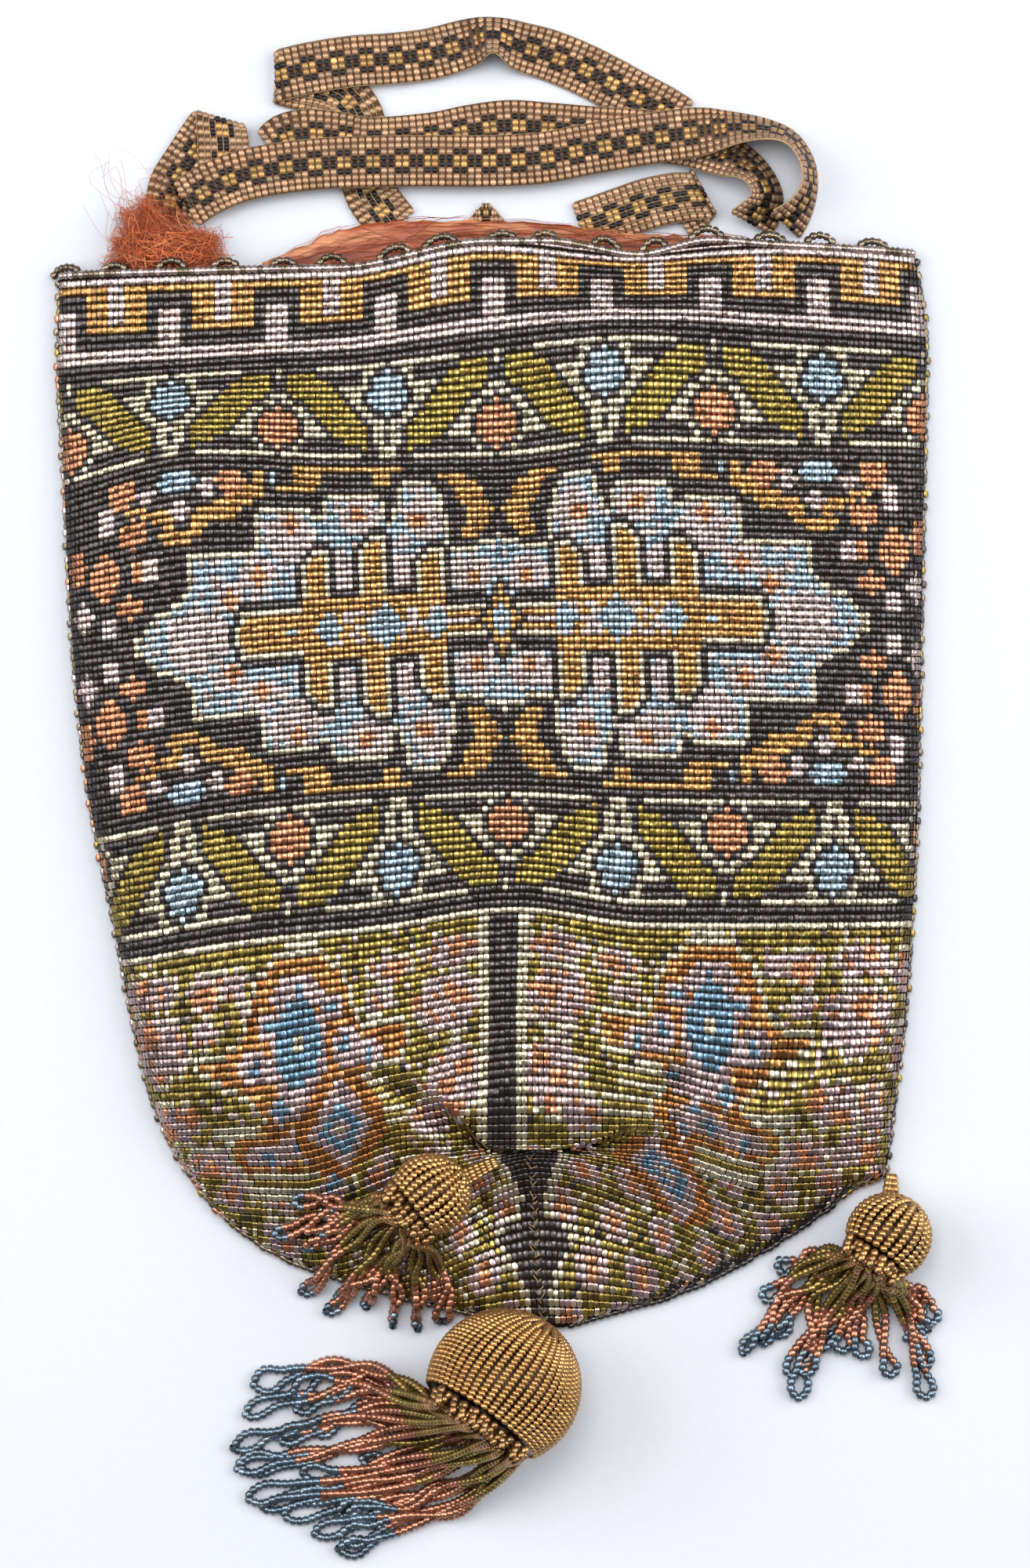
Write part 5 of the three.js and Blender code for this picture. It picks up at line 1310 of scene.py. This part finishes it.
class PURSE_OT_picots(PurseOperator, bpy.types.Operator):
    """Edge beads: small loops and a string along the mouth, and the beads that turn the rows"""

    bl_idname = "purse.picots"
    bl_label = "Edge beads"

    def build(self, settings):
        rng = np.random.default_rng(SEED + 3)
        soup = Soup()
        for x in np.arange(PICOT_FROM, PICOT_TO, PICOT_STEP):
            turn = np.linspace(-0.2, math.pi + 0.2, PICOT_SPOTS)
            spots = x + rng.uniform(-1.8, 1.8) + PICOT_WIDE * rng.uniform(0.75, 1.05) * np.cos(turn)
            level = np.clip(spots, MOUTH[0, 0], MOUTH[-1, 0])
            edge = MOUTH_Y + mouth_shift(level, MOUTH_Y, 1)
            height = front_height(level, np.full(PICOT_SPOTS, MOUTH_Y)) - 0.7
            rise = PICOT_HIGH * np.sin(turn) * rng.uniform(0.75, 1.2)
            path = np.stack([spots, edge + rise, np.maximum(height - 0.3 * rise, 0.9)], axis=1)
            string_beads(soup, path, PICOT_PITCH, PICOT_BEAD, lambda s: np.full(len(s), GREY), rng)
        x = np.linspace(MOUTH[0, 0] + 0.6, MOUTH[-1, 0] - 0.6, RIM_SPOTS)
        height = front_height(x, np.full(RIM_SPOTS, MOUTH_Y)) - GROUND_DEPTH
        rim = np.stack([x, MOUTH_Y + mouth_shift(x, MOUTH_Y, 1) + 0.1, height], axis=1)
        string_beads(soup, rim, COLUMN_PITCH, RIM_BEAD, lambda s: rng.choice(RIM_COLOURS, len(s)), rng)
        settle(soup.make("mouth_picots", cut_metal_beads(settings)), "pouch_beads")
        y = np.linspace(MOUTH_Y - 1, SECTIONS[-1, 0] + 0.2, EDGE_SPOTS)
        soup = Soup()
        sides = ((left_at, EDGE_INWARD, LEFT_EDGE), (right_at, -EDGE_INWARD, RIGHT_EDGE))
        for edge, inward, colours in sides:
            x = edge(y) + inward * (1 - 1.2 * np.sin(1.8 * y) * np.sin(0.31 * y))
            path = np.stack([x, y + mouth_shift(x, y, 1), np.full(EDGE_SPOTS, EDGE_RISE + 0.2)], axis=1)
            string_beads(soup, path, EDGE_PITCH, EDGE_WIDE,
                         lambda s: np.where(s > EDGE_PLAIN, colours[-1], rng.choice(colours, len(s))), rng)
        settle(soup.make("edge_beads", cut_metal_beads(settings)), "pouch_beads")


class PURSE_OT_stitches(PurseOperator, bpy.types.Operator):
    """Thread stitches down the gathered seam below the lip"""

    bl_idname = "purse.stitches"
    bl_label = "Seam stitches"

    def build(self, settings):
        rng = np.random.default_rng(SEED + 7)
        soup = Soup()
        for py in range(STITCH_FROM, STITCH_TO, STITCH_STEP):
            for side in (-1, 1):
                reach, rise, start = rng.uniform(STITCH_LEAST, STITCH_MOST)
                px = through(SEAM[:, 0], SEAM[:, 1], np.full(4, float(py)))
                px = px + side * np.linspace(-1, reach, 4)
                path = front_point((px - PX_X) * PX, (PX_Y - py + start + np.linspace(0, rise, 4)) * PX)
                path[:, 2] += STITCH_RISE
                tone = np.array(settings.stitch_colour) * rng.uniform(0.5, 1.1)
                thread(soup, path, STITCH_THREAD, tone)
        settle(soup.make("seam_stitches", twisted_thread()), "pouch_beads")


class PURSE_OT_lining(PurseOperator, bpy.types.Operator):
    """Torn silk lining along the back of the mouth"""

    bl_idname = "purse.lining"
    bl_label = "Lining"

    def build(self, settings):
        rng = np.random.default_rng(SEED + 4)
        x = np.linspace(LINING[0, 0], LINING[-1, 0], LINING_COLUMNS)
        low = through(LINING[:, 0], LINING[:, 1], x)
        fray = np.convolve(rng.normal(0, LINING_FRAY, LINING_COLUMNS + 2), (0.25, 0.5, 0.25), "valid")
        high = np.maximum(through(LINING[:, 0], LINING[:, 2], x) + fray, low + LINING_LEAST)
        share = np.linspace(0, 1, LINING_LINES)
        y = low[:, None] + (high - low)[:, None] * share
        ripple = 0.3 * np.sin(x[:, None] * 0.4 + 9 * share) * share
        mesh = bpy.data.meshes.new("lining_silk")
        bm = bmesh.new()
        sides = []
        for sign in (1, -1):
            z = LINING_Z + ripple + sign * LINING_HALF * (1 - 0.7 * share)
            points = np.stack([np.broadcast_to(x[:, None], y.shape), y, z], axis=-1)
            sides.append([[bm.verts.new(p) for p in line] for line in to_frame(points)])
        top, under = sides
        for i in range(LINING_COLUMNS - 1):
            for j in range(LINING_LINES - 1):
                bm.faces.new((top[i][j], top[i + 1][j], top[i + 1][j + 1], top[i][j + 1]))
                bm.faces.new((under[i][j + 1], under[i + 1][j + 1], under[i + 1][j], under[i][j]))
            bm.faces.new((top[i][-1], top[i + 1][-1], under[i + 1][-1], under[i][-1]))
            bm.faces.new((top[i + 1][0], top[i][0], under[i][0], under[i + 1][0]))
        for j in range(LINING_LINES - 1):
            bm.faces.new((top[0][j], top[0][j + 1], under[0][j + 1], under[0][j]))
            bm.faces.new((top[-1][j + 1], top[-1][j], under[-1][j], under[-1][j + 1]))
        bmesh.ops.recalc_face_normals(bm, faces=bm.faces)
        for face in bm.faces:
            face.smooth = True
        bm.to_mesh(mesh)
        bm.free()
        # Painted light on the silk: dark bands of painted shade where folds lie, and the upper part painted
        # paler as a highlight band.
        fold_shade_tones = np.array([linear(code) for code in LINING_TONES])
        tone = mesh.attributes.new("bead_colour", "FLOAT_COLOR", "POINT")
        wave = np.sin(0.16 * x[:, None] + 9.0 * share) + 0.6 * np.sin(0.43 * x[:, None] - 14.0 * share)
        pick = np.clip(1.4 + 0.8 * wave + 1.2 * (share > 0.72), 0, 2.99)
        low_tone, part = pick.astype(int), (pick % 1)[..., None]
        shade = fold_shade_tones[low_tone] * (1 - part) + fold_shade_tones[low_tone + 1] * part
        rgba = np.ones((2, *x.shape, len(share), 4), dtype=np.float32)
        rgba[..., :3] = shade
        tone.data.foreach_set("color", rgba.ravel())
        silk = worn_silk()
        mesh.materials.append(silk)
        lining = link("lining_silk", mesh)
        settle(lining, "silk", "lining")
        soup = Soup()
        for _ in range(settings.lining_threads):
            start = rng.uniform(x[0], x[-1] - LOOSE_LONG[0])
            spots = np.linspace(start, min(start + rng.uniform(*LOOSE_LONG), x[-1]), LOOSE_SPOTS)
            slant = rng.uniform(0.05, 1) + np.linspace(0, rng.normal(0, 0.25), LOOSE_SPOTS)
            part = np.clip(slant, 0, 1.06)
            first, last = np.interp(spots, x, low), np.interp(spots, x, high)
            level = np.full(LOOSE_SPOTS, LINING_Z + LINING_HALF + rng.uniform(0.1, 0.5))
            wander = rng.normal(0, 0.12, LOOSE_SPOTS)
            path = np.stack([spots, first + (last - first) * part + wander, level], axis=1)
            thread(soup, path, LOOSE_THREAD, fold_shade_tones[rng.integers(1, len(fold_shade_tones))])
        settle(soup.make("lining_threads", silk), "silk")


class PURSE_OT_tuft(PurseOperator, bpy.types.Operator):
    """Frayed silk bunched at the left corner of the mouth"""

    bl_idname = "purse.tuft"
    bl_label = "Silk tuft"

    def build(self, settings):
        rng = np.random.default_rng(SEED + 5)
        centre, half = np.array(TUFT["centre"]), np.array(TUFT["half"])
        tips = np.array(TUFT_TIPS)
        soup = Soup()
        shades = np.array([linear(code) for code in TUFT_SHADES])
        for k in range(settings.tuft_fibres + TUFT["wisps"]):
            root = centre + rng.uniform(-0.8, 0.8, 3) * half
            root[2] = max(root[2], 1.0)
            tip = tips[rng.integers(len(tips))] + rng.normal(0, 1.2, 3)
            if k % 3 == 0:
                tip = centre + unit(rng.normal(0, 1, 3)) * half * rng.uniform(0.9, 1.1)
            thick, stray, curl = FIBRE
            if k >= settings.tuft_fibres:
                tip = centre + np.array([rng.uniform(-20, 2), rng.uniform(8, 22), -2.5])
                thick, stray, curl = WISP
            first = root + (tip - root) * 0.35 + rng.normal(0, stray, 3) + np.array([0, 0, 1.6])
            second = root + (tip - root) * 0.7 + rng.normal(0, stray, 3)
            path = catmull([root, first, second, tip], 4)
            wave = rng.uniform(0, 6, 2) + np.linspace(0, rng.uniform(3, 8), len(path))[:, None]
            path[:, :2] += curl * np.sin(wave) * np.linspace(0, 1, len(path))[:, None]
            path[:, 2] = np.clip(path[:, 2], 0.3, centre[2] + half[2])
            tone = shades[rng.integers(len(shades))] * rng.uniform(0.8, 1.2)
            thread(soup, path, thick, tone)
        turn = np.arange(TUFT_SIDES) / TUFT_SIDES * 2 * math.pi
        tilt = np.linspace(0.05, math.pi - 0.05, TUFT_RINGS)
        rings = np.array([np.stack([np.full(TUFT_SIDES, math.cos(t)), math.sin(t) * np.cos(turn),
                                    math.sin(t) * np.sin(turn)], axis=1) for t in tilt])
        lumps = TUFT_CORE + rng.normal(0, 0.05, rings.shape[:2])
        core = centre + rings * lumps[..., None] * half
        # The core lump deep among the fibres is painted a little darker than a fibre, as shade inside the
        # tuft.
        soup.add(core.reshape(-1, 3), skin(core), np.tile(shades[0] * 0.8, (TUFT_RINGS * TUFT_SIDES, 1)))
        settle(soup.make("tuft_silk", silk_floss()), "silk", "silk_tuft")


class PURSE_OT_stage(PurseOperator, bpy.types.Operator):
    """Pale floor, soft studio light and the camera that looks straight down"""

    bl_idname = "purse.stage"
    bl_label = "Stage"

    def build(self, settings):
        scene = bpy.context.scene
        mesh = bpy.data.meshes.new("floor")
        bm = bmesh.new()
        bmesh.ops.create_grid(bm, x_segments=1, y_segments=1, size=FLOOR_HALF)
        bm.to_mesh(mesh)
        bm.free()
        mesh.materials.append(white_card(settings))
        floor = link("floor", mesh)
        floor.location.z = FLOOR_Z
        for name, spot, size, share in STUDIO_LAMPS:
            lamp = bpy.data.lights.new(name, "AREA")
            lamp.shape = "DISK"
            lamp.size = size
            lamp.energy = settings.key_power * share
            light = bpy.data.objects.new(name, lamp)
            light.location = spot
            light.rotation_euler = (-Vector(spot)).to_track_quat("-Z", "Y").to_euler()
            scene.collection.objects.link(light)
        world = bpy.data.worlds.new("studio")
        world.use_nodes = True
        back = world.node_tree.nodes["Background"]
        back.inputs["Color"].default_value = FILL_COLOUR
        back.inputs["Strength"].default_value = settings.fill_strength
        scene.world = world
        scene.view_settings.view_transform = "Standard"
        lens = bpy.data.cameras.new("camera")
        lens.lens, lens.sensor_width = LENS, SENSOR
        camera = bpy.data.objects.new("camera", lens)
        x, y = (CAMERA_PX[0] - PX_X) * PX * MM, (PX_Y - CAMERA_PX[1]) * PX * MM
        camera.location = (x + OFFSET[0], y + OFFSET[1], CAMERA_Z)
        scene.collection.objects.link(camera)
        scene.camera = camera


class PURSE_PT_panel(bpy.types.Panel):
    """Sidebar panel of the purse"""

    bl_idname = "PURSE_PT_panel"
    bl_label = "Beaded purse"
    bl_space_type = "VIEW_3D"
    bl_region_type = "UI"
    bl_category = "Purse"

    def draw(self, context):
        for group in (context.scene.purse, context.scene.purse_colours):
            for name in type(group).__annotations__:
                self.layout.prop(group, name)
        for operator in OPERATORS:
            self.layout.operator(operator.bl_idname)


OPERATORS = (PURSE_OT_ground, PURSE_OT_front_beads, PURSE_OT_back_beads, PURSE_OT_straps, PURSE_OT_tassels,
             PURSE_OT_picots, PURSE_OT_stitches, PURSE_OT_lining, PURSE_OT_tuft, PURSE_OT_stage)
CLASSES = (PurseSettings, PurseColours, *OPERATORS, PURSE_PT_panel)


def register():
    for cls in CLASSES:
        bpy.utils.register_class(cls)
    bpy.types.Scene.purse = bpy.props.PointerProperty(type=PurseSettings)
    bpy.types.Scene.purse_colours = bpy.props.PointerProperty(type=PurseColours)


def unregister():
    del bpy.types.Scene.purse_colours
    del bpy.types.Scene.purse
    for cls in reversed(CLASSES):
        bpy.utils.unregister_class(cls)


def main():
    """Builds every piece and the stage."""
    register()
    for operator in OPERATORS:
        group, name = operator.bl_idname.split(".")
        getattr(getattr(bpy.ops, group), name)()


if __name__ == "__main__":
    main()
